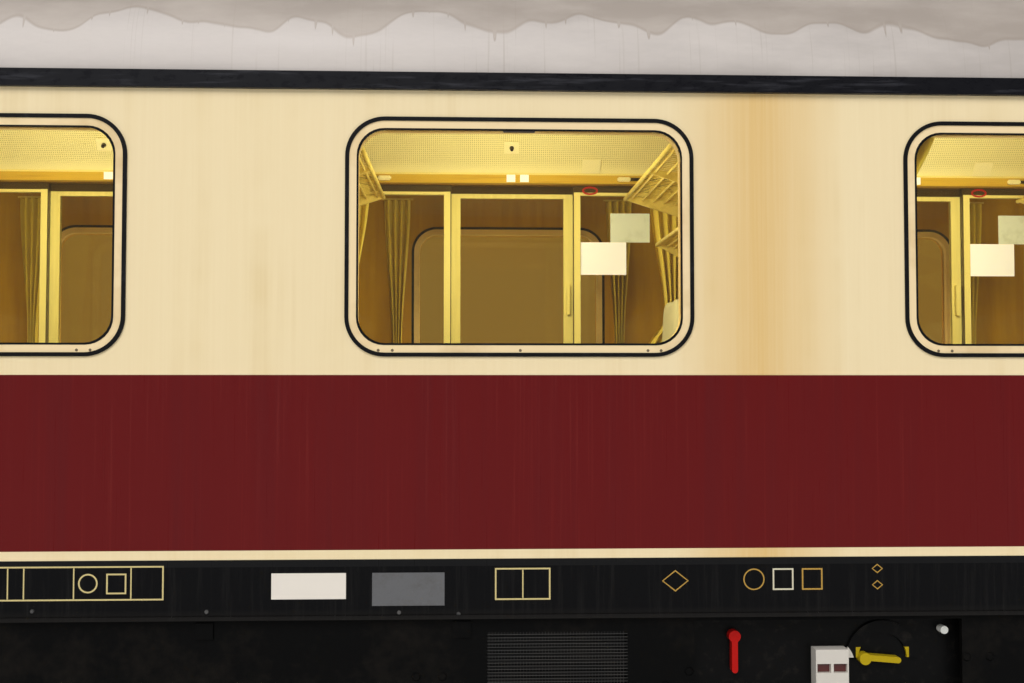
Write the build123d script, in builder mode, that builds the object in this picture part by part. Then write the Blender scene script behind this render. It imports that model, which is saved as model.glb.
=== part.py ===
from build123d import *
from math import atan2, cos, degrees, radians, sin
import os

# First-class side-corridor passenger coach on two four-wheel bogies, in millimetres.
# X runs along the coach, Y across it and Z up. The nine compartments are on the -Y side and the
# corridor on the +Y side. Z is 0 at the tips of the wheel flanges, where the coach stands, and the
# rail head would be FLANGE_HEIGHT above that. The two ends are alike, and so are the two side walls.

# Overall sizes
LENGTH_OVER_BUFFERS = 26400
BUFFER_LENGTH = 620
BODY_LENGTH = LENGTH_OVER_BUFFERS - 2 * BUFFER_LENGTH
BODY_WIDTH = 2825
END_WIDTH = 2610
TAPER_LENGTH = 1290  # how far from the end wall the side walls lean in
TAPER_START = BODY_LENGTH / 2 - TAPER_LENGTH
PIVOT_OVERHANG = 3080
PIVOT_SPACING = BODY_LENGTH - 2 * PIVOT_OVERHANG
FLANGE_HEIGHT = 28
SOLEBAR_BOTTOM = FLANGE_HEIGHT + 990
SOLEBAR_TOP = FLANGE_HEIGHT + 1197
FLOOR_TOP = FLANGE_HEIGHT + 1250
EAVE = FLANGE_HEIGHT + 3170
BODY_TOP = FLANGE_HEIGHT + 4050
WALL = 80
ROOF_THICKNESS = 70
EAVE_RADIUS = 600
CLEARANCE = 0.3  # left where a moving or separate piece rests on its seat
MOVING_GAP = 6  # left round doors

# Rain gutters
GUTTER_HEIGHT = 70
GUTTER_REACH = 22
GUTTER_WALL = 6
GUTTER_LIP = 14

# Underframe
SOLEBAR_FLANGE = 70
SOLEBAR_WEB = 12
SOLEBAR_LEDGE = 14  # how far the strip along the sole bar's foot stands out
SOLEBAR_LEDGE_HEIGHT = 16
CROSS_MEMBERS = [
    # place along the coach, width
    (0, 120),
    (1600, 90),
    (3200, 90),
    (4800, 90),
    (6400, 90),
    (8000, 90),
    (PIVOT_SPACING / 2, 620),
    (TAPER_START - 60, 120),
]
END_SILLS = [(220, PIVOT_SPACING / 2), (760, TAPER_START - 60)]
END_SILL_WIDTH = 90
PIVOT_RADIUS = 60

# Entrance steps: tread heights and the plates
TREAD_TOP = FLANGE_HEIGHT + 1022
STEPWELL_DEPTH = 300
STEP_DEPTH = WALL + STEPWELL_DEPTH
STEP_PLATE = 8
STEP_TREADS = [TREAD_TOP, FLANGE_HEIGHT + 810, FLANGE_HEIGHT + 590]
STEP_LOW = STEP_TREADS[-1] - 60

# Windows: width, height and corner radius of the hole in the wall
WINDOW_CENTRE = FLANGE_HEIGHT + 2510
CORRIDOR_WINDOW = (1230, 894, 160)
CORRIDOR_WINDOW_SHIFT = 50  # from the middle of the compartment's window to the middle of the corridor's
CORRIDOR_WINDOW_CENTRE = FLANGE_HEIGHT + 2475
GASKET_WIDTH = 16
GASKET_PROUD = 7
FRAME_WIDTH = 34
FRAME_PROUD = 3
PANE_THICKNESS = 28
PANE_SETBACK = 14

# Compartments
COMPARTMENTS = 9
TOILET_ROOM = 1088.5  # from the last compartment's partition to the start of the taper
COMPARTMENT_PITCH = 2 * (TAPER_START - TOILET_ROOM) / COMPARTMENTS
PARTITION = 40
CORRIDOR_WALL_Y = 560  # the compartment side of the wall between compartments and corridor
CORRIDOR_WALL = 35
DOORWAY = 697
DOOR_HEAD = FLANGE_HEIGHT + 3056
DOORWAY_SHIFT = 45  # from the middle of the window to the middle of the doorway
BEAM_HEIGHT = 66
CEILING_TOP = FLOOR_TOP + 2330
CEILING_THICKNESS = 14
CORRIDOR_CEILING = FLOOR_TOP + 2070
CEILING_MARGIN = 30
CEILING_FLAT = 700
COVE_WIDTH = 330
COVE_RADIUS = 220
BEAM_REACH = 25
CORRIDOR_CEILING_Y = 1300
BULKHEAD_DOORWAY = 640
PANEL_SILL = FLANGE_HEIGHT + 2000
PANEL_FRAME = 42
PANEL_HEAD = 54  # the depth of the glazed panels' top frame

# Sliding compartment doors
SLIDER_OVERLAP = 20
SLIDER_THICKNESS = 32
SLIDER_FRAME = 72
SLIDER_PANE = 8
SLIDER_RAIL = 50
SLIDER_TOP = DOOR_HEAD + 4
HANGER_WIDTH = 60
SLIDER_KICK = 700
SLIDER_HANDLE_Z = FLOOR_TOP + 1157
SLIDER_HANDLE_INSET = 12
SLIDER_HANDLE_LENGTH = 180
SLIDER_HANDLE_WIDTH = 22
SLIDER_HANDLE_REACH = 30

# Seats
SEAT_HEIGHT = 430
SEAT_DEPTH = 640
SEAT_BACK = 1060
SEAT_BACK_THICKNESS = 150
SEAT_CUSHION = 170
HEADREST_TOP = 1140
HEADREST_DEPTH = 60
SEATS_PER_BENCH = 3
SEAT_SIDE_GAP = 56
SEAT_UNDERSIDE = 0
SEAT_SET_IN = 140
ARM_WIDTH = 48
ARM_FROM = 120  # from the partition to the back of an arm rest
ARM_TO = 560
ARM_TOP = 640
ARM_THICKNESS = 60
ARM_CORNER = 20
ARM_POST = 70
SEAT_RECLINE = 50
SEAT_DIP = 30
HEADREST_HEIGHT = 300
HEADREST_WIDTH = 460
HEADREST_RADIUS = 80

# Luggage racks: height over the floor and depth from the partition
RACKS = [(1660, 430), (1400, 250)]
RACK_TUBE = 11
RACK_RODS = 7
RACK_RISE = 60
RACK_BRACKET = 14
RACK_BRACKET_DROP = 90
RACK_BRACKETS = (-0.96, 0, 0.96)  # places along the rack, as shares of half its length
RACK_SIDE_GAP = 75

# Curtains and tables
CURTAIN_WIDTH = 170
CURTAIN_DEPTH = 50
CURTAIN_LENGTH = 1150
CURTAIN_GAP = 5  # from the edge of the window opening to a curtain that is drawn back
HALF_DRAWN_COMPARTMENT = 5
HALF_DRAWN_LAP = 205
SCREEN_CURTAIN_WIDTH = 190
SCREEN_CURTAIN_INSET = 113.5  # from the partition
SCREEN_CURTAIN_BOTTOM = FLANGE_HEIGHT + 2122
SCREEN_CURTAIN_LENGTH = 915
TABLE_WIDTH = 520
TABLE_DEPTH = 230
TABLE_HEIGHT = 680
TABLE_THICKNESS = 25

# Handrails
GRAB_RAILS = (90, 1180)  # along the entrance wall from the start of the taper
GRAB_RAIL_FOOT = FLANGE_HEIGHT + 1300
GRAB_RAIL_LENGTH = 1100
GRAB_RAIL_REACH = 65
GRAB_RAIL_RADIUS = 14
GRAB_RAIL_BEND = 35
CORRIDOR_RAIL_REACH = 90
CORRIDOR_RAIL_HEIGHT = 850

# Entrance doors, with two leaves that fold outwards against each other
DOOR_JAMB = 190  # from the start of the taper to the doorway
ENTRANCE_WIDTH = 900
ENTRANCE_TOP = FLANGE_HEIGHT + 3062
LEAF_THICKNESS = 45
LEAF_GAP = 12
HINGE_INSET = 14  # from the jamb to the hinge pins
HINGE_EDGE = 6  # from the leaf's edge to the hinge pins
HINGE_DEPTH = 8
FOLD_OFFSET = 6  # the folding hinge's axis stands this far behind the leaves
FOLD_GAP = 10
KNUCKLE_RADIUS = 5.5
KNUCKLE_LENGTH = 60
LEAF_WINDOW_MARGIN = 85
LEAF_WINDOW_BOTTOM = WINDOW_CENTRE - 360
LEAF_WINDOW_HEIGHT = 780
LEAF_WINDOW_CORNER = 60
LEAF_PANE = 10
HINGE_PIN_RADIUS = 4
KNUCKLE_HEIGHTS = [FLANGE_HEIGHT + 1250, FLANGE_HEIGHT + 1950, FLANGE_HEIGHT + 2900]
KNUCKLE_TAB = 35
HANDLE_INSET = 50
HANDLE_WIDTH = 36
HANDLE_LENGTH = 170
HANDLE_REACH = 4
HANDLE_Z = FLANGE_HEIGHT + 1900

# Gangway at each end
GANGWAY_DOOR_WIDTH = 800
GANGWAY_DOOR_THICKNESS = 40
GANGWAY_WINDOW_WIDTH = 440
GANGWAY_WINDOW_HEIGHT = 700
GANGWAY_WINDOW_SILL = 1050
GANGWAY_DOORWAY = 740
GANGWAY_TOP = FLOOR_TOP + 1950
GANGWAY_TRAVEL = 760
RAIL_HEIGHT = 40
GANGWAY_RAIL_REACH = 60
FOOTPLATE_REACH = 480
FOOTPLATE_WIDTH = 860
FOOTPLATE_THICKNESS = 16
BELLOWS_REACH = BUFFER_LENGTH - 30
BELLOWS_INNER = 455
BELLOWS_TUBE = 170
BELLOWS_BOTTOM = FLANGE_HEIGHT + 1275
BELLOWS_TOP = GANGWAY_TOP + 60

# Wheelsets
BOGIE_WHEELBASE = 2500
TREAD_RADIUS = 475
TREAD_Y = 750
TREAD_CONE = 1 / 40
AXLE_Z = TREAD_RADIUS + FLANGE_HEIGHT
WHEEL_INNER_FACE = 680
WHEEL_WIDTH = 135
FLANGE_THICKNESS = 32
RIM_DEPTH = 72
WEB_THICKNESS = 28
WEB_OUT = 45  # how far the web stands from the wheel's inner face at the rim
HUB_RADIUS = 130
HUB_WIDTH = 175
AXLE_RADIUS = 85
JOURNAL_RADIUS = 65
JOURNAL_Y = 1000
JOURNAL_END = 1090
DISC_Y = 350
DISC_RADIUS = 320
DISC_THICKNESS = 110

# Bogie frames and brake calipers
SIDE_FRAME_WIDTH = 150
SIDE_MID_BOTTOM = FLANGE_HEIGHT + 532
SIDE_MID_TOP = FLANGE_HEIGHT + 672
SIDE_ARM_BOTTOM = FLANGE_HEIGHT + 712
SIDE_ARM_TOP = FLANGE_HEIGHT + 812
SIDE_END = 1750
SIDE_END_ROUNDING = 30
SWAN_IN = 580
SWAN_OUT = 830
SWAN_RISE = 40
TRANSOM_X = 290
TRANSOM_WIDTH = 130
TRANSOM_TOP = FLANGE_HEIGHT + 662
CALIPER_MID = 880
PAD_REACH = 1080
PAD_GAP = 7
PAD_THICKNESS = 40
PAD_HEIGHT = 120

# Axle boxes and the springs on their wings
BOX_RADIUS = 130
BOX_LENGTH = 200
BORE_CLEARANCE = 0.4
WING_BOTTOM = FLANGE_HEIGHT + 372
WING_TOP = FLANGE_HEIGHT + 412
AXLE_SPRING_X = 245
AXLE_SPRING_RADIUS = 92
AXLE_SPRING_TURNS = 8
AXLE_SPRING_WIRE = 34

# Bolsters and their springs
BOLSTER_BOTTOM = FLANGE_HEIGHT + 732
BOLSTER_UPPER = FLANGE_HEIGHT + 932
BOLSTER_END_BOTTOM = FLANGE_HEIGHT + 852
BOLSTER_WIDTH = 400
BOLSTER_END_WIDTH = 660
BOLSTER_INNER_Y = 870
BOLSTER_END_Y = 1120
BOLSTER_SPRING_X = 205
BOLSTER_SPRING_RADIUS = 112
BOLSTER_SPRING_TURNS = 6
BOLSTER_SPRING_WIRE = 30
SIDE_BEARER_Y = 740
SIDE_BEARER_RADIUS = 110
PIVOT_PIN_TOP = SOLEBAR_BOTTOM + 120

# Track brakes
SHOE_HALF_LENGTH = 560
SHOE_BOTTOM = FLANGE_HEIGHT + 75
SHOE_HEIGHT = 100
SHOE_WIDTH = 90
SHOE_TIE_X = 480
SHOE_HANGER_RADIUS = 20

# Buffers
BUFFER_Y = 875
BUFFER_Z = FLANGE_HEIGHT + 1060
BUFFER_BASE = 35
BUFFER_BASE_RADIUS = 160
BUFFER_CASING = 370
BUFFER_CASING_RADIUS = 110
BUFFER_PLUNGER_RADIUS = 88
BUFFER_PLATE = 40
BUFFER_PLATE_WIDTH = 560
BUFFER_PLATE_HEIGHT = 340
BUFFER_PLATE_CORNER = 60

# Draw gear
HEADSTOCK_THICKNESS = 80
HEADSTOCK_BOTTOM = FLANGE_HEIGHT + 900
HOOK_THICKNESS = 60
HOOK_PLATE = 260
LINK_THICKNESS = 18
LINK_WIDTH = 80
LINK_LENGTH = 200
SCREW_LENGTH = 190
SCREW_RADIUS = 24
BOW_WIDTH = 100
BOW_LENGTH = 160
BOW_RADIUS = 18
BOW_BEND = 40
TRUNNION = 64
HOOK_OUTLINE = [
    # from the headstock and from the buffers' height
    (0, 45),
    (250, 45),
    (290, 130),
    (350, 120),
    (370, 0),
    (300, -90),
    (130, -90),
    (0, -55),
]

# Skirts between the bogies
SKIRT_HALF_LENGTH = 7350
SKIRT_BOTTOM = FLANGE_HEIGHT + 520
SKIRT_THICKNESS = 25
SKIRT_SETBACK = 22
GRILLE_FROM = -130
GRILLE_TO = 430
GRILLE_BOTTOM = FLANGE_HEIGHT + 640
GRILLE_TOP = FLANGE_HEIGHT + 930
GRILLE_PITCH = 24
GRILLE_SLOTS = 12
GRILLE_PAN_MARGIN = 30
GRILLE_PAN_DEPTH = 60
GRILLE_PAN_WALL = 6
SKIRT_HINGE_XS = [-6327, -5311, -4295, -3279, -2263, -1247, -231, 2817, 3833, 4849, 5865, 6881]
SKIRT_HINGE_SIZE = (70, 64)
SKIRT_HINGE_PROUD = 10
SKIRT_HINGE_DROP = 46  # from the sole bar to the middle of a hinge

# Brake controls in their bay
RECESS_FROM = 700
RECESS_TO = 1790
RECESS_BOTTOM = FLANGE_HEIGHT + 650
RECESS_HEIGHT = 320
RECESS_DEPTH = 90
CONTROLS_PLATE = 20
CONTROLS_MARGIN = 60  # of the back plate behind the edges of the bay
LEVER_PIVOT = (874, FLANGE_HEIGHT + 895)
CHANGEOVER_PIVOT = (1410, FLANGE_HEIGHT + 800)
LEVER_LENGTH = 135
LEVER_WIDTH = 24
LEVER_BOSS = 24
LEVER_REACH = 45
QUADRANT_OUTER = 150
QUADRANT_INNER = 100
INDICATOR_PLACE = (1265, FLANGE_HEIGHT + 770)
INDICATOR_SIZE = (134, 150)
INDICATOR_DEPTH = 70
INDICATOR_WINDOW = (56, 36)
QUADRANT_SHIFT = 81  # from the changeover lever's pivot to the middle of its quadrant
LAMP_PLACE = (1737, FLANGE_HEIGHT + 915)
LAMP_RADIUS = 16

# Underfloor equipment
EQUIPMENT_CASES = [
    # from x, to x, middle y, width, depth
    (-6600, -4700, -700, 1100, 400),
    (-6600, -4700, 750, 1000, 420),
    (-4500, -3050, 0, 2400, 430),
    (-2600, -1500, -720, 1000, 380),
    (-2600, -700, 720, 1050, 430),
    (2900, 4900, -650, 1200, 430),
    (2900, 4900, 720, 1000, 400),
    (5200, 6650, 0, 2450, 380),
]
CASE_CORNER = 40
AIR_TANKS = [
    # from x, to x, middle y, radius
    (-240, 1840, -300, 175),
    (-240, 1840, 620, 200),
]
TANK_DROP = 60
TANK_STRAP = 50
TANK_STRAP_INSET = 240
TANK_DOME = 0.6  # the rounding of the ends as a share of the radius

# Tail lamps
TAIL_LAMP_Y = 980
TAIL_LAMP_Z = FLANGE_HEIGHT + 1750
TAIL_LAMP_RADIUS = 85
TAIL_LAMP_REACH = 45

# Worked out from the sizes above
BOLSTER_TOP = SOLEBAR_BOTTOM - CLEARANCE
HALF_WIDTH = BODY_WIDTH / 2
HALF_LENGTH = BODY_LENGTH / 2
TAPER_SLOPE = (BODY_WIDTH - END_WIDTH) / 2 / (HALF_LENGTH - TAPER_START)
TAPER_ANGLE = degrees(atan2(BODY_WIDTH - END_WIDTH, 2 * (HALF_LENGTH - TAPER_START)))
ROOF_RISE = BODY_TOP - EAVE
CROWN_RADIUS = ((HALF_WIDTH - EAVE_RADIUS) ** 2 + ROOF_RISE**2 - EAVE_RADIUS**2) / (
    2 * (ROOF_RISE - EAVE_RADIUS)
)
COMPARTMENT_XS = [(i - (COMPARTMENTS - 1) / 2) * COMPARTMENT_PITCH for i in range(COMPARTMENTS)]
PARTITION_XS = [(i - COMPARTMENTS / 2) * COMPARTMENT_PITCH for i in range(COMPARTMENTS + 1)]
CABIN_END = PARTITION_XS[-1]
INNER_Y = HALF_WIDTH - WALL
END_WINDOW_X = (CABIN_END + TAPER_START) / 2
END_WINDOWS = (620, 964, 160, WINDOW_CENTRE, [-END_WINDOW_X, END_WINDOW_X])
COMPARTMENT_WINDOW = (1404, 964, 160)
CORRIDOR_WINDOW_XS = [x + CORRIDOR_WINDOW_SHIFT for x in COMPARTMENT_XS]
SIDE_WINDOWS = [
    # the side, and for each kind of window there its width, height, corner radius, middle height and places
    (1, [(*COMPARTMENT_WINDOW, WINDOW_CENTRE, COMPARTMENT_XS), END_WINDOWS]),
    (-1, [(*CORRIDOR_WINDOW, CORRIDOR_WINDOW_CENTRE, CORRIDOR_WINDOW_XS), END_WINDOWS]),
]
BOGIE_XS = {"a": -PIVOT_SPACING / 2, "b": PIVOT_SPACING / 2}
CORNERS = [
    # name, whether it is mirrored to the corridor side, whether it is mirrored to the -X end
    ("compartment_side_a", False, True),
    ("compartment_side_b", False, False),
    ("corridor_side_a", True, True),
    ("corridor_side_b", True, False),
]

os.makedirs("parts", exist_ok=True)


def save(part, label):
    part.label = label
    export_step(part, f"parts/{label}.step")


def half_width_at(x):
    """Half the body's width at a place along it."""
    return HALF_WIDTH - max(0, abs(x) - TAPER_START) * TAPER_SLOPE


def body_plan(inset, end_x, mode=Mode.ADD):
    """The body's outline seen from above, brought in by inset, up to end_x, in an open sketch."""
    corners = [
        (end_x, half_width_at(end_x) - inset),
        (TAPER_START, HALF_WIDTH - inset),
        (-TAPER_START, HALF_WIDTH - inset),
        (-end_x, half_width_at(end_x) - inset),
    ]
    with BuildLine() as outline:
        Polyline(*corners, *[(x, -y) for x, y in reversed(corners)], close=True)
    make_face(outline.edges(), mode=mode)


def roof_arch(inset, mode=Mode.ADD):
    """The filled cross-section of the roof above the eaves, brought in by inset, in an open sketch."""
    corner_y = HALF_WIDTH - EAVE_RADIUS
    crown_z = BODY_TOP - CROWN_RADIUS
    turn = degrees(atan2(EAVE - crown_z, corner_y))
    with BuildLine() as outline:
        CenterArc((corner_y, EAVE), EAVE_RADIUS - inset, 0, turn)
        CenterArc((0, crown_z), CROWN_RADIUS - inset, turn, 180 - 2 * turn)
        CenterArc((-corner_y, EAVE), EAVE_RADIUS - inset, 180 - turn, turn)
        Line((inset - HALF_WIDTH, EAVE), (HALF_WIDTH - inset, EAVE))
    make_face(outline.edges(), mode=mode)


def cabin_section(y_from, y_to, z_from):
    """The space under the roof between two places across the coach, in an open sketch."""
    roof_arch(ROOF_THICKNESS)
    with Locations((0, (z_from + EAVE) / 2)):
        Rectangle(2 * INNER_Y, EAVE - z_from)
    with Locations(((y_from + y_to) / 2, (z_from + BODY_TOP) / 2)):
        Rectangle(y_to - y_from, BODY_TOP - z_from, mode=Mode.INTERSECT)


def window_shapes(kinds, inset, mode=Mode.ADD):
    """Every window's outline in an open sketch on a side wall, brought in by inset."""
    for width, height, radius, middle, places in kinds:
        with Locations(*[(x, middle) for x in places]):
            RectangleRounded(width - 2 * inset, height - 2 * inset, radius - inset, mode=mode)


def coil_spring(radius, length, turns, wire):
    """A coil spring as a ribbed column, standing on the origin."""
    pitch = length / turns
    with BuildPart() as spring:
        with BuildSketch(Plane.XZ):
            with BuildLine():
                Line((0, 0), (radius - wire / 2, 0))
                for i in range(turns):
                    ThreePointArc(
                        (radius - wire / 2, i * pitch),
                        (radius, (i + 0.5) * pitch),
                        (radius - wire / 2, (i + 1) * pitch),
                    )
                Polyline((radius - wire / 2, length), (0, length), (0, 0))
            make_face()
        revolve(axis=Axis.Z)
    return spring.part


# Side walls: flat from end taper to end taper, with the window holes cut. The sketches lie on planes
# that face the compartment side, so the corridor side has a negative offset.
side_walls = []
for side, kinds in SIDE_WINDOWS:
    with BuildPart() as side_wall:
        with BuildSketch(Plane.XZ.offset(side * HALF_WIDTH)):
            with Locations((0, (SOLEBAR_TOP + EAVE) / 2)):
                Rectangle(2 * TAPER_START, EAVE - SOLEBAR_TOP)
            window_shapes(kinds, 0, mode=Mode.SUBTRACT)
        extrude(amount=-side * WALL)
    side_walls.append(side_wall.part)

save(side_walls[0], "side_wall_compartments")
save(side_walls[1], "side_wall_corridor")

# Window gaskets, frames and panes, one inside the other
with BuildPart() as window_gaskets:
    for side, kinds in SIDE_WINDOWS:
        with BuildSketch(Plane.XZ.offset(side * (HALF_WIDTH + GASKET_PROUD))):
            window_shapes(kinds, 0)
            window_shapes(kinds, GASKET_WIDTH, mode=Mode.SUBTRACT)
        extrude(amount=-side * (WALL + GASKET_PROUD))

with BuildPart() as window_frames:
    for side, kinds in SIDE_WINDOWS:
        with BuildSketch(Plane.XZ.offset(side * (HALF_WIDTH + FRAME_PROUD))):
            window_shapes(kinds, GASKET_WIDTH)
            window_shapes(kinds, GASKET_WIDTH + FRAME_WIDTH, mode=Mode.SUBTRACT)
        extrude(amount=-side * (WALL + FRAME_PROUD))

with BuildPart() as window_panes:
    for side, kinds in SIDE_WINDOWS:
        with BuildSketch(Plane.XZ.offset(side * (HALF_WIDTH - PANE_SETBACK))):
            window_shapes(kinds, GASKET_WIDTH + FRAME_WIDTH)
        extrude(amount=-side * PANE_THICKNESS)

save(window_gaskets.part, "window_gaskets")
save(window_frames.part, "window_frames")
save(window_panes.part, "window_panes")

# Entrance walls: the leaning side panels with the doorways, one at each corner. The doorway's plane
# has its X along the wall from the start of the taper, its Y up and its Z outwards.
entrance_plane = Plane(
    origin=(TAPER_START, -HALF_WIDTH, 0),
    x_dir=(cos(radians(TAPER_ANGLE)), sin(radians(TAPER_ANGLE)), 0),
    z_dir=(sin(radians(TAPER_ANGLE)), -cos(radians(TAPER_ANGLE)), 0),
)
END_Y = half_width_at(HALF_LENGTH)
ENTRANCE_MID = DOOR_JAMB + ENTRANCE_WIDTH / 2

with BuildPart() as entrance_walls:
    with BuildSketch(Plane.XY.offset(SOLEBAR_BOTTOM)):
        with BuildLine():
            Polyline(
                (TAPER_START, -HALF_WIDTH),
                (HALF_LENGTH, -END_Y),
                (HALF_LENGTH, WALL - END_Y),
                (TAPER_START, WALL - HALF_WIDTH),
                close=True,
            )
        make_face()
    extrude(amount=EAVE - SOLEBAR_BOTTOM)
    with BuildSketch(entrance_plane.offset(WALL)):
        with Locations((ENTRANCE_MID, (ENTRANCE_TOP + HEADSTOCK_BOTTOM) / 2)):
            Rectangle(ENTRANCE_WIDTH, ENTRANCE_TOP - HEADSTOCK_BOTTOM)
    extrude(amount=-3 * WALL, mode=Mode.SUBTRACT)
    mirror(about=Plane.XZ)
    mirror(about=Plane.YZ)

save(entrance_walls.part, "entrance_walls")

# Roof: one arch from end to end, cut to the body's plan
with BuildPart() as roof:
    with BuildSketch(Plane.YZ):
        roof_arch(0)
        roof_arch(ROOF_THICKNESS, mode=Mode.SUBTRACT)
    extrude(amount=HALF_LENGTH, both=True)
    with BuildSketch():
        body_plan(0, HALF_LENGTH)
    extrude(amount=BODY_TOP, mode=Mode.INTERSECT)

save(roof.part, "roof")

# Rain gutters along the eaves, with a raised lip outside, in one length for each stretch of wall
with BuildPart() as rain_gutters:
    with BuildSketch(Plane.XY.offset(EAVE - GUTTER_HEIGHT)):
        body_plan(-GUTTER_REACH, HALF_LENGTH)
    extrude(amount=GUTTER_HEIGHT)
    with BuildSketch(Plane.XY.offset(EAVE - GUTTER_LIP)):
        body_plan(GUTTER_WALL - GUTTER_REACH, HALF_LENGTH)
    extrude(amount=GUTTER_LIP, mode=Mode.SUBTRACT)
    with BuildSketch(Plane.XY.offset(EAVE - GUTTER_HEIGHT)):
        body_plan(0, HALF_LENGTH)
        with Locations((-TAPER_START, 0), (TAPER_START, 0)):
            Rectangle(CLEARANCE, 2 * BODY_WIDTH)
    extrude(amount=GUTTER_HEIGHT, mode=Mode.SUBTRACT)

save(rain_gutters.part, "rain_gutters")

# End walls with the gangway doorway, and over it the rail that the gangway door hangs from
END_INNER_X = HALF_LENGTH - WALL
with BuildPart() as end_walls:
    with BuildSketch(Plane.YZ.offset(END_INNER_X)):
        cabin_section(-INNER_Y, INNER_Y, SOLEBAR_TOP)
        with Locations((0, (SOLEBAR_TOP + GANGWAY_TOP) / 2)):
            Rectangle(GANGWAY_DOORWAY, GANGWAY_TOP - SOLEBAR_TOP, mode=Mode.SUBTRACT)
    extrude(amount=WALL)
    with BuildSketch():
        body_plan(WALL, HALF_LENGTH)
    extrude(amount=BODY_TOP, mode=Mode.INTERSECT)
    with Locations((END_INNER_X, GANGWAY_TRAVEL / 2, GANGWAY_TOP + SLIDER_OVERLAP + RAIL_HEIGHT / 2)):
        Box(
            2 * GANGWAY_RAIL_REACH,
            GANGWAY_DOOR_WIDTH + GANGWAY_TRAVEL,
            RAIL_HEIGHT,
        )
    with Locations((HALF_LENGTH + FOOTPLATE_REACH / 2, 0, FLOOR_TOP - FOOTPLATE_THICKNESS / 2)):
        Box(FOOTPLATE_REACH, FOOTPLATE_WIDTH, FOOTPLATE_THICKNESS)
    mirror(about=Plane.YZ)

save(end_walls.part, "end_walls")

# Floor deck, open over the entrance steps
with BuildPart() as floor_deck:
    with BuildSketch(Plane.XY.offset(SOLEBAR_TOP)):
        body_plan(WALL, END_INNER_X)
    extrude(amount=FLOOR_TOP - SOLEBAR_TOP)
    for side in (-1, 1):
        for end in (-1, 1):
            with Locations(
                (
                    end * (TAPER_START + ENTRANCE_MID),
                    side * (INNER_Y - STEPWELL_DEPTH / 2),
                    (SOLEBAR_TOP + FLOOR_TOP) / 2,
                )
            ):
                Box(ENTRANCE_WIDTH, STEPWELL_DEPTH, 2 * WALL, mode=Mode.SUBTRACT)

save(floor_deck.part, "floor_deck")

# Underframe: channel sole bars with a ledge along their feet, cross members, body bolsters over the
# bogies, end sills and headstocks
with BuildPart() as underframe:
    with BuildSketch(Plane.YZ):
        with Locations((HALF_WIDTH - SOLEBAR_FLANGE / 2, (SOLEBAR_BOTTOM + SOLEBAR_TOP) / 2)):
            Rectangle(SOLEBAR_FLANGE, SOLEBAR_TOP - SOLEBAR_BOTTOM)
            with Locations((-SOLEBAR_WEB, 0)):
                Rectangle(
                    SOLEBAR_FLANGE,
                    SOLEBAR_TOP - SOLEBAR_BOTTOM - 2 * SOLEBAR_WEB,
                    mode=Mode.SUBTRACT,
                )
        with Locations((HALF_WIDTH + SOLEBAR_LEDGE / 2, SOLEBAR_BOTTOM + SOLEBAR_LEDGE_HEIGHT / 2)):
            Rectangle(SOLEBAR_LEDGE, SOLEBAR_LEDGE_HEIGHT)
    extrude(amount=TAPER_START, both=True)
    mirror(about=Plane.XZ)
    member_z = (SOLEBAR_BOTTOM + SOLEBAR_TOP) / 2
    for x, width in CROSS_MEMBERS:
        with Locations((x, 0, member_z), (-x, 0, member_z)):
            Box(width, 2 * (HALF_WIDTH - SOLEBAR_WEB), SOLEBAR_TOP - SOLEBAR_BOTTOM)
    for y, x_from in END_SILLS:
        for end in (-1, 1):
            with Locations(
                (end * (x_from + HALF_LENGTH - HEADSTOCK_THICKNESS) / 2, y, member_z),
                (end * (x_from + HALF_LENGTH - HEADSTOCK_THICKNESS) / 2, -y, member_z),
            ):
                Box(
                    HALF_LENGTH - HEADSTOCK_THICKNESS - x_from,
                    END_SILL_WIDTH,
                    SOLEBAR_TOP - SOLEBAR_BOTTOM,
                )
    with Locations(
        *[
            (end * (HALF_LENGTH - HEADSTOCK_THICKNESS / 2), 0, (HEADSTOCK_BOTTOM + SOLEBAR_TOP) / 2)
            for end in (-1, 1)
        ]
    ):
        Box(HEADSTOCK_THICKNESS, 2 * (END_Y - WALL), SOLEBAR_TOP - HEADSTOCK_BOTTOM)
    with Locations((-PIVOT_SPACING / 2, 0, SOLEBAR_TOP), (PIVOT_SPACING / 2, 0, SOLEBAR_TOP)):
        Cylinder(
            PIVOT_RADIUS + CLEARANCE,
            2 * (SOLEBAR_TOP - SOLEBAR_BOTTOM),
            mode=Mode.SUBTRACT,
        )

save(underframe.part, "underframe")

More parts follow.
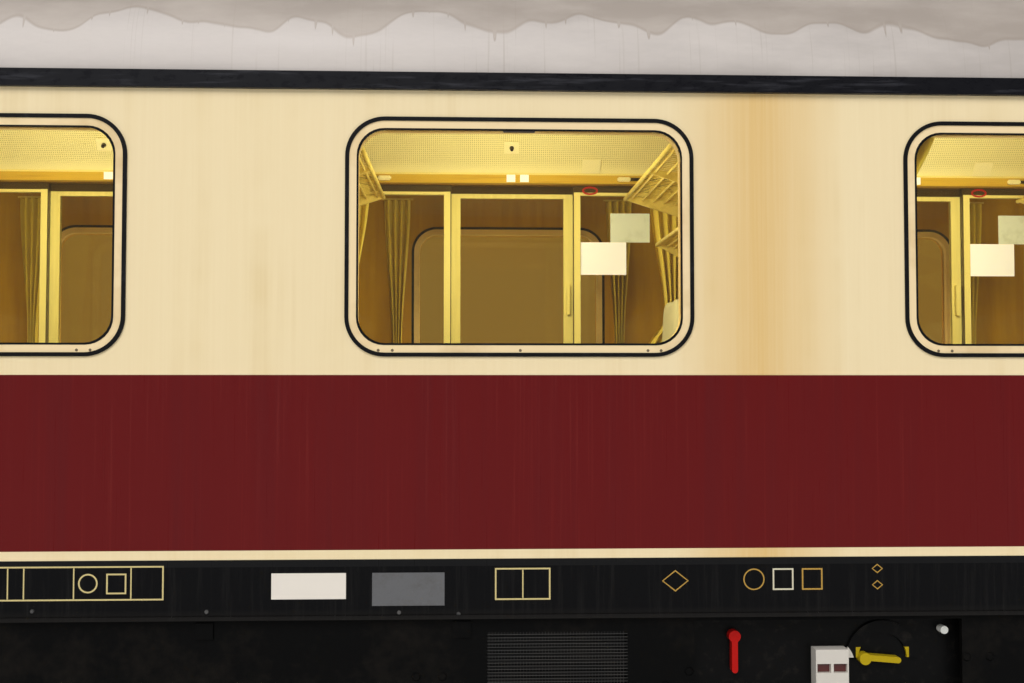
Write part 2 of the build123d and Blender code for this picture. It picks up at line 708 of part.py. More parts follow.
# Entrance steps: an inside tread at the doorway and two treads below it between side plates, with
# the walls of the step well over the inside tread
with BuildPart() as entrance_steps:
    with BuildSketch(entrance_plane):
        with Locations((ENTRANCE_MID, (STEP_LOW + TREAD_TOP) / 2)):
            Rectangle(ENTRANCE_WIDTH, TREAD_TOP - STEP_LOW)
            Rectangle(
                ENTRANCE_WIDTH - 2 * STEP_PLATE,
                TREAD_TOP - STEP_LOW,
                mode=Mode.SUBTRACT,
            )
    extrude(amount=-STEP_DEPTH)
    for tread_z in STEP_TREADS:
        with BuildSketch(entrance_plane):
            with Locations((ENTRANCE_MID, tread_z - STEP_PLATE / 2)):
                Rectangle(ENTRANCE_WIDTH - 2 * STEP_PLATE - 2 * CLEARANCE, STEP_PLATE)
        extrude(amount=-STEP_DEPTH)
    with BuildSketch(entrance_plane.offset(-WALL)):
        with Locations((ENTRANCE_MID, (TREAD_TOP + CLEARANCE + SOLEBAR_TOP) / 2)):
            Rectangle(ENTRANCE_WIDTH, SOLEBAR_TOP - TREAD_TOP - CLEARANCE)
            Rectangle(
                ENTRANCE_WIDTH - 2 * STEP_PLATE,
                SOLEBAR_TOP - TREAD_TOP - CLEARANCE,
                mode=Mode.SUBTRACT,
            )
    extrude(amount=STEP_PLATE + CLEARANCE - STEPWELL_DEPTH)
    with BuildSketch(entrance_plane.offset(-STEP_DEPTH)):
        with Locations((ENTRANCE_MID, (TREAD_TOP + CLEARANCE + SOLEBAR_TOP) / 2)):
            Rectangle(ENTRANCE_WIDTH, SOLEBAR_TOP - TREAD_TOP - CLEARANCE)
    extrude(amount=STEP_PLATE)
    mirror(about=Plane.XZ)
    mirror(about=Plane.YZ)

save(entrance_steps.part, "entrance_steps")

# Partitions between the compartments, and the bulkheads between the toilets and the vestibules
with BuildPart() as partitions:
    for x in PARTITION_XS:
        with BuildSketch(Plane.YZ.offset(x - PARTITION / 2)):
            cabin_section(-INNER_Y, CORRIDOR_WALL_Y, FLOOR_TOP)
        extrude(amount=PARTITION)
    for end in (-1, 1):
        with BuildSketch(Plane.YZ.offset(end * (TAPER_START - PARTITION / 2) - PARTITION / 2)):
            cabin_section(-INNER_Y, INNER_Y, FLOOR_TOP)
            with Locations(((CORRIDOR_WALL_Y + CORRIDOR_WALL + INNER_Y) / 2, (FLOOR_TOP + DOOR_HEAD) / 2)):
                Rectangle(BULKHEAD_DOORWAY, DOOR_HEAD - FLOOR_TOP, mode=Mode.SUBTRACT)
        extrude(amount=PARTITION)

save(partitions.part, "partitions")

# Wall between compartments and corridor: a glazed panel from each doorway to the next, with the
# toilet walls as part of the outermost ones
HALF_DOORWAY = DOORWAY / 2
SIDE_LIGHT = (COMPARTMENT_PITCH - DOORWAY) / 2 - PARTITION / 2 - 2 * PANEL_FRAME
side_light_reach = HALF_DOORWAY + PANEL_FRAME + SIDE_LIGHT / 2
SIDE_LIGHTS = [
    # width, places along the coach
    (
        SIDE_LIGHT - side * DOORWAY_SHIFT,
        [x + side * side_light_reach + DOORWAY_SHIFT / 2 for x in COMPARTMENT_XS],
    )
    for side in (-1, 1)
]
DOORWAY_XS = [x + DOORWAY_SHIFT for x in COMPARTMENT_XS]
SIDE_LIGHT_TOP = DOOR_HEAD - PANEL_HEAD
SCREEN_CURTAIN_X = (COMPARTMENT_PITCH - PARTITION - SCREEN_CURTAIN_WIDTH) / 2 - SCREEN_CURTAIN_INSET
panel_edges = [-TAPER_START + PARTITION] + [
    x + side * HALF_DOORWAY for x in DOORWAY_XS for side in (-1, 1)
] + [TAPER_START - PARTITION]


def side_lights():
    """The glass beside every compartment door, in an open sketch."""
    for width, places in SIDE_LIGHTS:
        with Locations(*[(x, (PANEL_SILL + SIDE_LIGHT_TOP) / 2) for x in places]):
            Rectangle(width, SIDE_LIGHT_TOP - PANEL_SILL)


with BuildPart() as corridor_wall_panels:
    with BuildSketch(Plane.XZ.offset(-CORRIDOR_WALL_Y)):
        for left, right in zip(panel_edges[::2], panel_edges[1::2]):
            with Locations(((left + right) / 2, (FLOOR_TOP + DOOR_HEAD) / 2)):
                Rectangle(right - left, DOOR_HEAD - FLOOR_TOP)
    extrude(amount=-CORRIDOR_WALL)
    with BuildSketch(Plane.XZ.offset(-CORRIDOR_WALL_Y)):
        side_lights()
    extrude(amount=-CORRIDOR_WALL, mode=Mode.SUBTRACT)

with BuildPart() as corridor_wall_glass:
    with BuildSketch(Plane.XZ.offset(-CORRIDOR_WALL_Y - CORRIDOR_WALL / 2 + SLIDER_PANE / 2)):
        side_lights()
    extrude(amount=-SLIDER_PANE)

save(corridor_wall_panels.part, "corridor_wall_panels")
save(corridor_wall_glass.part, "corridor_wall_glass")

# Ceilings: a header along the whole corridor wall carries the door rail and the corridor's flat
# ceiling, and in each compartment a vault comes down to it in a cove
BEAM_TOP = DOOR_HEAD + BEAM_HEIGHT
CORRIDOR_FACE = CORRIDOR_WALL_Y + CORRIDOR_WALL
CORRIDOR_PLATE_Y = CORRIDOR_FACE + CEILING_THICKNESS + CLEARANCE
COVE_FOOT_Y = CORRIDOR_WALL_Y - CEILING_THICKNESS / 2 - CLEARANCE
plate_middle = (CORRIDOR_PLATE_Y + CORRIDOR_CEILING_Y) / 2
RAIL_BOTTOM = SLIDER_TOP + MOVING_GAP
with BuildPart() as ceilings:
    with BuildSketch(Plane.YZ):
        with BuildLine():
            Polyline(
                (CORRIDOR_WALL_Y, DOOR_HEAD),
                (CORRIDOR_FACE, DOOR_HEAD),
                (CORRIDOR_FACE, RAIL_BOTTOM),
                (CORRIDOR_FACE + SLIDER_RAIL, RAIL_BOTTOM),
                (CORRIDOR_FACE + SLIDER_RAIL, BEAM_TOP),
                (CORRIDOR_FACE + CEILING_THICKNESS, BEAM_TOP),
                (CORRIDOR_FACE + CEILING_THICKNESS, CORRIDOR_CEILING),
                (CORRIDOR_FACE, CORRIDOR_CEILING),
                (CORRIDOR_FACE, BEAM_TOP),
                (CORRIDOR_WALL_Y, BEAM_TOP),
                close=True,
            )
        make_face()
        with Locations((plate_middle, CORRIDOR_CEILING - CEILING_THICKNESS / 2)):
            Rectangle(CORRIDOR_CEILING_Y - CORRIDOR_PLATE_Y, CEILING_THICKNESS)
    extrude(amount=TAPER_START - PARTITION, both=True)
    for x in COMPARTMENT_XS:
        with BuildSketch(Plane.YZ.offset(x)):
            with BuildLine():
                FilletPolyline(
                    (-INNER_Y + CEILING_MARGIN, EAVE + CEILING_MARGIN),
                    (-CEILING_FLAT, CEILING_TOP),
                    (CORRIDOR_WALL_Y - COVE_WIDTH, CEILING_TOP),
                    (COVE_FOOT_Y, BEAM_TOP),
                    radius=COVE_RADIUS,
                )
            trace(line_width=CEILING_THICKNESS)
            with Locations((CORRIDOR_WALL_Y - CLEARANCE - BEAM_REACH / 2, (DOOR_HEAD + BEAM_TOP) / 2)):
                Rectangle(BEAM_REACH, BEAM_HEIGHT)
        extrude(amount=(COMPARTMENT_PITCH - PARTITION) / 2 - CLEARANCE, both=True)

save(ceilings.part, "ceilings")

# Seats: a bench of three against each partition, with a headrest for each place
BENCH_LENGTH = INNER_Y + CORRIDOR_WALL_Y - 2 * SEAT_SIDE_GAP
PLACE = BENCH_LENGTH / SEATS_PER_BENCH
BENCH_MID_Y = (CORRIDOR_WALL_Y - INNER_Y) / 2
with BuildPart() as bench:
    with BuildSketch(Plane.XZ.offset(-BENCH_MID_Y)):
        with BuildLine():
            Polyline(
                (0, SEAT_UNDERSIDE),
                (SEAT_DEPTH - SEAT_SET_IN, SEAT_UNDERSIDE),
                (SEAT_DEPTH, SEAT_HEIGHT - SEAT_CUSHION),
                (SEAT_DEPTH, SEAT_HEIGHT),
                (SEAT_BACK_THICKNESS + SEAT_RECLINE, SEAT_HEIGHT - SEAT_DIP),
                (SEAT_BACK_THICKNESS, SEAT_BACK),
                (0, SEAT_BACK),
                close=True,
            )
        make_face()
    extrude(amount=BENCH_LENGTH / 2, both=True)
    with BuildSketch(Plane.YZ.offset(SEAT_BACK_THICKNESS + HEADREST_DEPTH)):
        with Locations(
            *[
                (BENCH_MID_Y + (i - (SEATS_PER_BENCH - 1) / 2) * PLACE, HEADREST_TOP - HEADREST_HEIGHT / 2)
                for i in range(SEATS_PER_BENCH)
            ]
        ):
            RectangleRounded(HEADREST_WIDTH, HEADREST_HEIGHT, HEADREST_RADIUS)
    extrude(amount=-HEADREST_DEPTH - SEAT_BACK_THICKNESS)
    arm_reach = BENCH_LENGTH / 2 - ARM_WIDTH / 2
    for i in range(SEATS_PER_BENCH + 1):
        arm_y = BENCH_MID_Y + (2 * i / SEATS_PER_BENCH - 1) * arm_reach
        with BuildSketch(Plane.XZ.offset(-arm_y)):
            with Locations(((ARM_FROM + ARM_TO) / 2, ARM_TOP - ARM_THICKNESS / 2)):
                RectangleRounded(ARM_TO - ARM_FROM, ARM_THICKNESS, ARM_CORNER)
            with Locations((ARM_TO - ARM_POST, (SEAT_HEIGHT - SEAT_CUSHION + ARM_TOP - ARM_THICKNESS) / 2)):
                Rectangle(ARM_POST, ARM_TOP - ARM_THICKNESS / 2 - SEAT_HEIGHT + SEAT_CUSHION)
        extrude(amount=ARM_WIDTH / 2, both=True)

with BuildPart() as seats:
    for x in PARTITION_XS[:-1]:
        with Locations((x + PARTITION / 2, 0, FLOOR_TOP)):
            add(bench.part)
    mirror(about=Plane.YZ)

save(seats.part, "seats")

# Luggage racks: a wide and a narrow one over each bench, of tubes between brackets
RACK_LENGTH = INNER_Y + CORRIDOR_WALL_Y - 2 * RACK_SIDE_GAP
with BuildPart() as rack_set:
    for height, depth in RACKS:
        steps = [(i + 0.5) / RACK_RODS for i in range(RACK_RODS)]
        with BuildSketch(Plane.XZ.offset(-BENCH_MID_Y)):
            with Locations(*[(depth * step, height + RACK_RISE * step) for step in steps]):
                Circle(RACK_TUBE / 2)
            with Locations((depth, height + RACK_RISE)):
                Circle(RACK_TUBE)
        extrude(amount=RACK_LENGTH / 2, both=True)
        for place in RACK_BRACKETS:
            with BuildSketch(Plane.XZ.offset(-BENCH_MID_Y - place * RACK_LENGTH / 2)):
                with BuildLine():
                    Polyline(
                        (0, height - RACK_BRACKET_DROP),
                        (depth, height + RACK_RISE - RACK_TUBE),
                        (depth, height + RACK_RISE + RACK_TUBE),
                        (0, height + RACK_TUBE),
                        close=True,
                    )
                make_face()
            extrude(amount=RACK_BRACKET / 2, both=True)

with BuildPart() as luggage_racks:
    for x in PARTITION_XS[:-1]:
        with Locations((x + PARTITION / 2, 0, FLOOR_TOP)):
            add(rack_set.part)
    mirror(about=Plane.YZ)

save(luggage_racks.part, "luggage_racks")

# Curtains beside the windows and on the corridor wall, and folding tables under the windows
CURTAIN_X = COMPARTMENT_WINDOW[0] / 2 + CURTAIN_GAP + CURTAIN_WIDTH / 2
CORRIDOR_CURTAIN_X = CORRIDOR_WINDOW[0] / 2 + CURTAIN_GAP + CURTAIN_WIDTH / 2
HALF_DRAWN_X = COMPARTMENT_XS[HALF_DRAWN_COMPARTMENT] - CURTAIN_X
drawn_back = [x + side * CURTAIN_X for x in COMPARTMENT_XS for side in (-1, 1)]
corridor_curtain_xs = [x + side * CORRIDOR_CURTAIN_X for x in CORRIDOR_WINDOW_XS for side in (-1, 1)]
window_curtain_xs = [x + HALF_DRAWN_LAP if x == HALF_DRAWN_X else x for x in drawn_back]
screen_curtain_xs = [x + side * SCREEN_CURTAIN_X for x in COMPARTMENT_XS for side in (-1, 1)]
CURTAIN_ROWS = [
    # places along the coach, middle y, width, bottom and length
    (
        window_curtain_xs,
        -INNER_Y + CURTAIN_DEPTH / 2 + CLEARANCE,
        CURTAIN_WIDTH,
        WINDOW_CENTRE - CURTAIN_LENGTH / 2,
        CURTAIN_LENGTH,
    ),
    (
        screen_curtain_xs,
        CORRIDOR_WALL_Y - CURTAIN_DEPTH / 2 - CLEARANCE,
        SCREEN_CURTAIN_WIDTH,
        SCREEN_CURTAIN_BOTTOM,
        SCREEN_CURTAIN_LENGTH,
    ),
    (
        corridor_curtain_xs,
        INNER_Y - CURTAIN_DEPTH / 2 - CLEARANCE,
        CURTAIN_WIDTH,
        WINDOW_CENTRE - CURTAIN_LENGTH / 2,
        CURTAIN_LENGTH,
    ),
]
with BuildPart() as curtains:
    for places, middle_y, width, bottom, length in CURTAIN_ROWS:
        with BuildSketch(Plane.XY.offset(bottom)):
            with Locations(*[(x, middle_y) for x in places]):
                RectangleRounded(width, CURTAIN_DEPTH, CURTAIN_DEPTH / 3)
        extrude(amount=length)

with BuildPart() as window_tables:
    with Locations(*[(x, -INNER_Y + TABLE_DEPTH / 2, FLOOR_TOP + TABLE_HEIGHT) for x in COMPARTMENT_XS]):
        Box(TABLE_WIDTH, TABLE_DEPTH, TABLE_THICKNESS)
    fillet(window_tables.edges().filter_by(Axis.Z).group_by(Axis.Y)[-1], TABLE_DEPTH / 4)

save(curtains.part, "curtains")
save(window_tables.part, "window_tables")

# Handrails: grab rails beside the entrances, and a long one past the corridor windows, on brackets
with BuildPart() as handrails:
    for rail_x in GRAB_RAILS:
        foot = entrance_plane.from_local_coords((rail_x, GRAB_RAIL_FOOT, 0))
        outwards = entrance_plane.z_dir * GRAB_RAIL_REACH
        rise = Vector(0, 0, GRAB_RAIL_LENGTH)
        with BuildLine():
            FilletPolyline(
                foot, foot + outwards, foot + outwards + rise, foot + rise, radius=GRAB_RAIL_BEND
            )
        with BuildSketch(Plane(foot, z_dir=entrance_plane.z_dir)):
            Circle(GRAB_RAIL_RADIUS)
        sweep()
    mirror(about=Plane.XZ)
    mirror(about=Plane.YZ)
    with Locations((0, INNER_Y - CORRIDOR_RAIL_REACH, FLOOR_TOP + CORRIDOR_RAIL_HEIGHT)):
        Cylinder(GRAB_RAIL_RADIUS, 2 * CABIN_END, rotation=(0, 90, 0))
    bracket_reach = CORRIDOR_RAIL_REACH - GRAB_RAIL_RADIUS - CLEARANCE
    with Locations(
        *[
            (x, INNER_Y - bracket_reach / 2, FLOOR_TOP + CORRIDOR_RAIL_HEIGHT)
            for x in PARTITION_XS[1:-1]
        ]
    ):
        Cylinder(GRAB_RAIL_RADIUS / 2, bracket_reach, rotation=(90, 0, 0))

save(handrails.part, "handrails")

# Gangway bellows: a thick rubber tube up each side of the doorway and across its top
with BuildPart() as gangway_bellows:
    with BuildSketch(Plane.YZ.offset(HALF_LENGTH)):
        with BuildLine():
            FilletPolyline(
                (-BELLOWS_INNER - BELLOWS_TUBE / 2, BELLOWS_BOTTOM),
                (-BELLOWS_INNER - BELLOWS_TUBE / 2, BELLOWS_TOP + BELLOWS_TUBE / 2),
                (BELLOWS_INNER + BELLOWS_TUBE / 2, BELLOWS_TOP + BELLOWS_TUBE / 2),
                (BELLOWS_INNER + BELLOWS_TUBE / 2, BELLOWS_BOTTOM),
                radius=BELLOWS_TUBE,
            )
        trace(line_width=BELLOWS_TUBE)
    extrude(amount=BELLOWS_REACH)
    fillet(gangway_bellows.faces().sort_by(Axis.X)[-1].edges(), BELLOWS_TUBE / 3)
    mirror(about=Plane.YZ)

save(gangway_bellows.part, "gangway_bellows")

# Buffers: base, casing, plunger and a slightly domed plate
with BuildPart() as buffer:
    with BuildSketch(Plane.XZ):
        with BuildLine():
            Polyline(
                (0, 0),
                (0, BUFFER_BASE_RADIUS),
                (BUFFER_BASE, BUFFER_BASE_RADIUS),
                (BUFFER_BASE, BUFFER_CASING_RADIUS),
                (BUFFER_CASING, BUFFER_CASING_RADIUS),
                (BUFFER_CASING, BUFFER_PLUNGER_RADIUS),
                (BUFFER_LENGTH - BUFFER_PLATE, BUFFER_PLUNGER_RADIUS),
                (BUFFER_LENGTH - BUFFER_PLATE, 0),
                close=True,
            )
        make_face()
    revolve(axis=Axis.X)
    with BuildSketch(Plane.YZ.offset(BUFFER_LENGTH - BUFFER_PLATE)):
        RectangleRounded(BUFFER_PLATE_WIDTH, BUFFER_PLATE_HEIGHT, BUFFER_PLATE_CORNER)
    extrude(amount=BUFFER_PLATE)
    chamfer(buffer.faces().sort_by(Axis.X)[-1].edges(), BUFFER_PLATE / 4)

with BuildPart() as buffers:
    with Locations((HALF_LENGTH, BUFFER_Y, BUFFER_Z), (HALF_LENGTH, -BUFFER_Y, BUFFER_Z)):
        add(buffer.part)
    mirror(about=Plane.YZ)

save(buffers.part, "buffers")

# Draw gear: a hook, and the screw coupling hanging from it
HOOK_PIN_X = HALF_LENGTH + 190
HOOK_PIN_Z = BUFFER_Z - 20
TRUNNION_Z = HOOK_PIN_Z - LINK_LENGTH
SWIVEL_Z = TRUNNION_Z - SCREW_LENGTH
with BuildPart() as draw_gear:
    with BuildSketch(Plane.XZ):
        with BuildLine():
            Polyline(*[(HALF_LENGTH + x, BUFFER_Z + z) for x, z in HOOK_OUTLINE], close=True)
        make_face()
    extrude(amount=HOOK_THICKNESS / 2, both=True)
    with Locations((HALF_LENGTH + HOOK_THICKNESS / 4, 0, BUFFER_Z - 5)):
        Box(HOOK_THICKNESS / 2, HOOK_PLATE, HOOK_PLATE)
    for face_y in (HOOK_THICKNESS / 2, -HOOK_THICKNESS / 2 - LINK_THICKNESS):
        with BuildSketch(Plane.XZ.offset(-face_y)):
            with Locations((HOOK_PIN_X, HOOK_PIN_Z - LINK_LENGTH / 2)):
                SlotCenterToCenter(LINK_LENGTH, LINK_WIDTH, rotation=90)
        extrude(amount=-LINK_THICKNESS)
    with Locations((HOOK_PIN_X, 0, HOOK_PIN_Z)):
        Cylinder(LINK_WIDTH / 4, HOOK_THICKNESS + 4 * LINK_THICKNESS, rotation=(90, 0, 0))
    with Locations((HOOK_PIN_X, 0, TRUNNION_Z)):
        Box(TRUNNION, HOOK_THICKNESS + 4 * LINK_THICKNESS, TRUNNION)
    with Locations((HOOK_PIN_X, 0, (TRUNNION_Z + SWIVEL_Z) / 2)):
        Cylinder(SCREW_RADIUS, SCREW_LENGTH)
    with Locations((HOOK_PIN_X, 0, SWIVEL_Z)):
        Box(TRUNNION, BOW_WIDTH + 3 * BOW_RADIUS, TRUNNION)
    with BuildLine():
        FilletPolyline(
            (HOOK_PIN_X, -BOW_WIDTH / 2, SWIVEL_Z),
            (HOOK_PIN_X, -BOW_WIDTH / 2, SWIVEL_Z - BOW_LENGTH),
            (HOOK_PIN_X, BOW_WIDTH / 2, SWIVEL_Z - BOW_LENGTH),
            (HOOK_PIN_X, BOW_WIDTH / 2, SWIVEL_Z),
            radius=BOW_BEND,
        )
    with BuildSketch(Plane((HOOK_PIN_X, -BOW_WIDTH / 2, SWIVEL_Z), z_dir=(0, 0, -1))):
        Circle(BOW_RADIUS)
    sweep()
    mirror(about=Plane.YZ)

save(draw_gear.part, "draw_gear")

# Skirts between the bogies: panels hanging on hinges from the sole bars, with their lower corners cut off.
# On the compartment side there is a bay for the brake controls, and a grille of slots with a pan behind it.
SKIRT_FACE = HALF_WIDTH - SKIRT_SETBACK
SKIRT_HEIGHT = SOLEBAR_BOTTOM - SKIRT_BOTTOM
with BuildPart() as skirts:
    with BuildSketch(Plane.XZ.offset(-SKIRT_FACE)):
        with Locations((0, SKIRT_BOTTOM + SKIRT_HEIGHT / 2)):
            Rectangle(2 * SKIRT_HALF_LENGTH, SKIRT_HEIGHT)
    extrude(amount=SKIRT_THICKNESS)
    chamfer(skirts.edges().filter_by(Axis.Y).group_by(Axis.Z)[0], SKIRT_HEIGHT / 2)
    with BuildSketch(Plane.XZ.offset(-SKIRT_FACE)):
        with Locations(*[(x, SOLEBAR_BOTTOM - SKIRT_HINGE_DROP) for x in SKIRT_HINGE_XS]):
            Rectangle(*SKIRT_HINGE_SIZE)
    extrude(amount=-SKIRT_HINGE_PROUD)
    mirror(about=Plane.XZ)
    with BuildSketch(Plane.XZ.offset(SKIRT_FACE)):
        with Locations(((RECESS_FROM + RECESS_TO) / 2, RECESS_BOTTOM + RECESS_HEIGHT / 2)):
            Rectangle(RECESS_TO - RECESS_FROM, RECESS_HEIGHT)
        with Locations(((GRILLE_FROM + GRILLE_TO) / 2, (GRILLE_BOTTOM + GRILLE_TOP) / 2)):
            with GridLocations(0, GRILLE_PITCH, 1, GRILLE_SLOTS):
                SlotOverall(GRILLE_TO - GRILLE_FROM, GRILLE_PITCH / 2)
    extrude(amount=-SKIRT_THICKNESS, mode=Mode.SUBTRACT)
    pan_width = GRILLE_TO - GRILLE_FROM + 2 * GRILLE_PAN_MARGIN
    pan_height = GRILLE_TOP - GRILLE_BOTTOM + 2 * GRILLE_PAN_MARGIN
    for depth, inner in ((GRILLE_PAN_DEPTH, 0), (GRILLE_PAN_DEPTH - GRILLE_PAN_WALL, GRILLE_PAN_WALL)):
        with BuildSketch(Plane.XZ.offset(SKIRT_FACE - SKIRT_THICKNESS)):
            with Locations(((GRILLE_FROM + GRILLE_TO) / 2, (GRILLE_BOTTOM + GRILLE_TOP) / 2)):
                Rectangle(pan_width - 2 * inner, pan_height - 2 * inner)
        extrude(amount=-depth, mode=Mode.SUBTRACT if inner else Mode.ADD)

save(skirts.part, "skirts")

# Brake controls: a back plate in the bay with a quadrant, two levers, an indicator box and a lamp
CONTROLS_FACE = SKIRT_FACE - RECESS_DEPTH
plate_bottom = RECESS_BOTTOM - CONTROLS_MARGIN
with BuildPart() as brake_controls:
    with BuildSketch(Plane.XZ.offset(CONTROLS_FACE)):
        with Locations(((RECESS_FROM + RECESS_TO) / 2, (plate_bottom + SOLEBAR_BOTTOM) / 2)):
            Rectangle(RECESS_TO - RECESS_FROM + 2 * CONTROLS_MARGIN, SOLEBAR_BOTTOM - plate_bottom)
    extrude(amount=-CONTROLS_PLATE)
    with BuildSketch(Plane.XZ.offset(CONTROLS_FACE)):
        with Locations(LEVER_PIVOT):
            Circle(LEVER_BOSS)
        with Locations((LEVER_PIVOT[0], LEVER_PIVOT[1] - LEVER_LENGTH / 2)):
            SlotCenterToCenter(LEVER_LENGTH, LEVER_WIDTH, rotation=90)
        with Locations((CHANGEOVER_PIVOT[0] + LEVER_LENGTH / 2, CHANGEOVER_PIVOT[1])):
            SlotCenterToCenter(LEVER_LENGTH, LEVER_WIDTH, rotation=-5)
        with Locations(CHANGEOVER_PIVOT):
            Circle(LEVER_BOSS)
        with Locations(LAMP_PLACE):
            Circle(LAMP_RADIUS)
    extrude(amount=LEVER_REACH)
    with BuildSketch(Plane.XZ.offset(CONTROLS_FACE)):
        with Locations((CHANGEOVER_PIVOT[0] + QUADRANT_SHIFT, CHANGEOVER_PIVOT[1])):
            Circle(QUADRANT_OUTER)
            Circle(QUADRANT_INNER, mode=Mode.SUBTRACT)
            with Locations((0, -QUADRANT_OUTER / 2)):
                Rectangle(2 * QUADRANT_OUTER, QUADRANT_OUTER, mode=Mode.SUBTRACT)
    extrude(amount=LEVER_REACH / 3)
    with BuildSketch(Plane.XZ.offset(CONTROLS_FACE)):
        with Locations(INDICATOR_PLACE):
            Rectangle(*INDICATOR_SIZE)
    extrude(amount=INDICATOR_DEPTH)
    with BuildSketch(Plane.XZ.offset(CONTROLS_FACE + INDICATOR_DEPTH)):
        with Locations(INDICATOR_PLACE):
            with GridLocations(INDICATOR_SIZE[0] / 2, 0, 2, 1):
                Rectangle(*INDICATOR_WINDOW)
    extrude(amount=-INDICATOR_DEPTH / 4, mode=Mode.SUBTRACT)

save(brake_controls.part, "brake_controls")

# Underfloor equipment hanging from the cross members: cases, and air tanks in their straps
equipment = []
for x_from, x_to, y_mid, width, depth in EQUIPMENT_CASES:
    with BuildPart() as equipment_case:
        with BuildSketch(Plane.YZ.offset(x_from)):
            with Locations((y_mid, SOLEBAR_BOTTOM - depth / 2)):
                RectangleRounded(width, depth, CASE_CORNER)
            with Locations((y_mid, SOLEBAR_BOTTOM - CASE_CORNER)):
                Rectangle(width, 2 * CASE_CORNER)
        extrude(amount=x_to - x_from)
    equipment.append(equipment_case.part)
for x_from, x_to, y_mid, radius in AIR_TANKS:
    tank_z = SOLEBAR_BOTTOM - radius - TANK_DROP
    with BuildPart() as air_tank:
        with BuildSketch(Plane.YZ.offset(x_from)):
            with Locations((y_mid, tank_z)):
                Circle(radius)
        extrude(amount=x_to - x_from)
        fillet(air_tank.edges().filter_by(GeomType.CIRCLE), TANK_DOME * radius)
        with Locations(
            *[
                (x, y_mid, (SOLEBAR_BOTTOM + tank_z) / 2)
                for x in (x_from + TANK_STRAP_INSET, x_to - TANK_STRAP_INSET)
            ]
        ):
            Box(TANK_STRAP, radius, SOLEBAR_BOTTOM - tank_z)
    equipment.append(air_tank.part)

with BuildPart() as underfloor_equipment:
    for unit in equipment:
        add(unit)

save(underfloor_equipment.part, "underfloor_equipment")

# Tail lamps on the end walls
with BuildPart() as tail_lamps:
    with BuildSketch(Plane.YZ.offset(HALF_LENGTH)):
        with Locations((TAIL_LAMP_Y, TAIL_LAMP_Z), (-TAIL_LAMP_Y, TAIL_LAMP_Z)):
            Circle(TAIL_LAMP_RADIUS)
    extrude(amount=TAIL_LAMP_REACH)
    fillet(tail_lamps.edges().filter_by(GeomType.CIRCLE).group_by(Axis.X)[-1], TAIL_LAMP_REACH / 3)
    mirror(about=Plane.YZ)

save(tail_lamps.part, "tail_lamps")


def bogie_frame_profile():
    """A bogie side member seen from the side, low between the wheels and high over the axle boxes."""
    upper = [(SWAN_IN, SIDE_MID_TOP), (SWAN_OUT - SWAN_RISE, SIDE_ARM_TOP), (SIDE_END, SIDE_ARM_TOP)]
    lower = [(SIDE_END, SIDE_ARM_BOTTOM), (SWAN_OUT, SIDE_ARM_BOTTOM), (SWAN_IN, SIDE_MID_BOTTOM)]
    right = upper + lower
    with BuildLine() as outline:
        Polyline(*right, *[(-x, z) for x, z in reversed(right)], close=True)
    make_face(outline.edges())


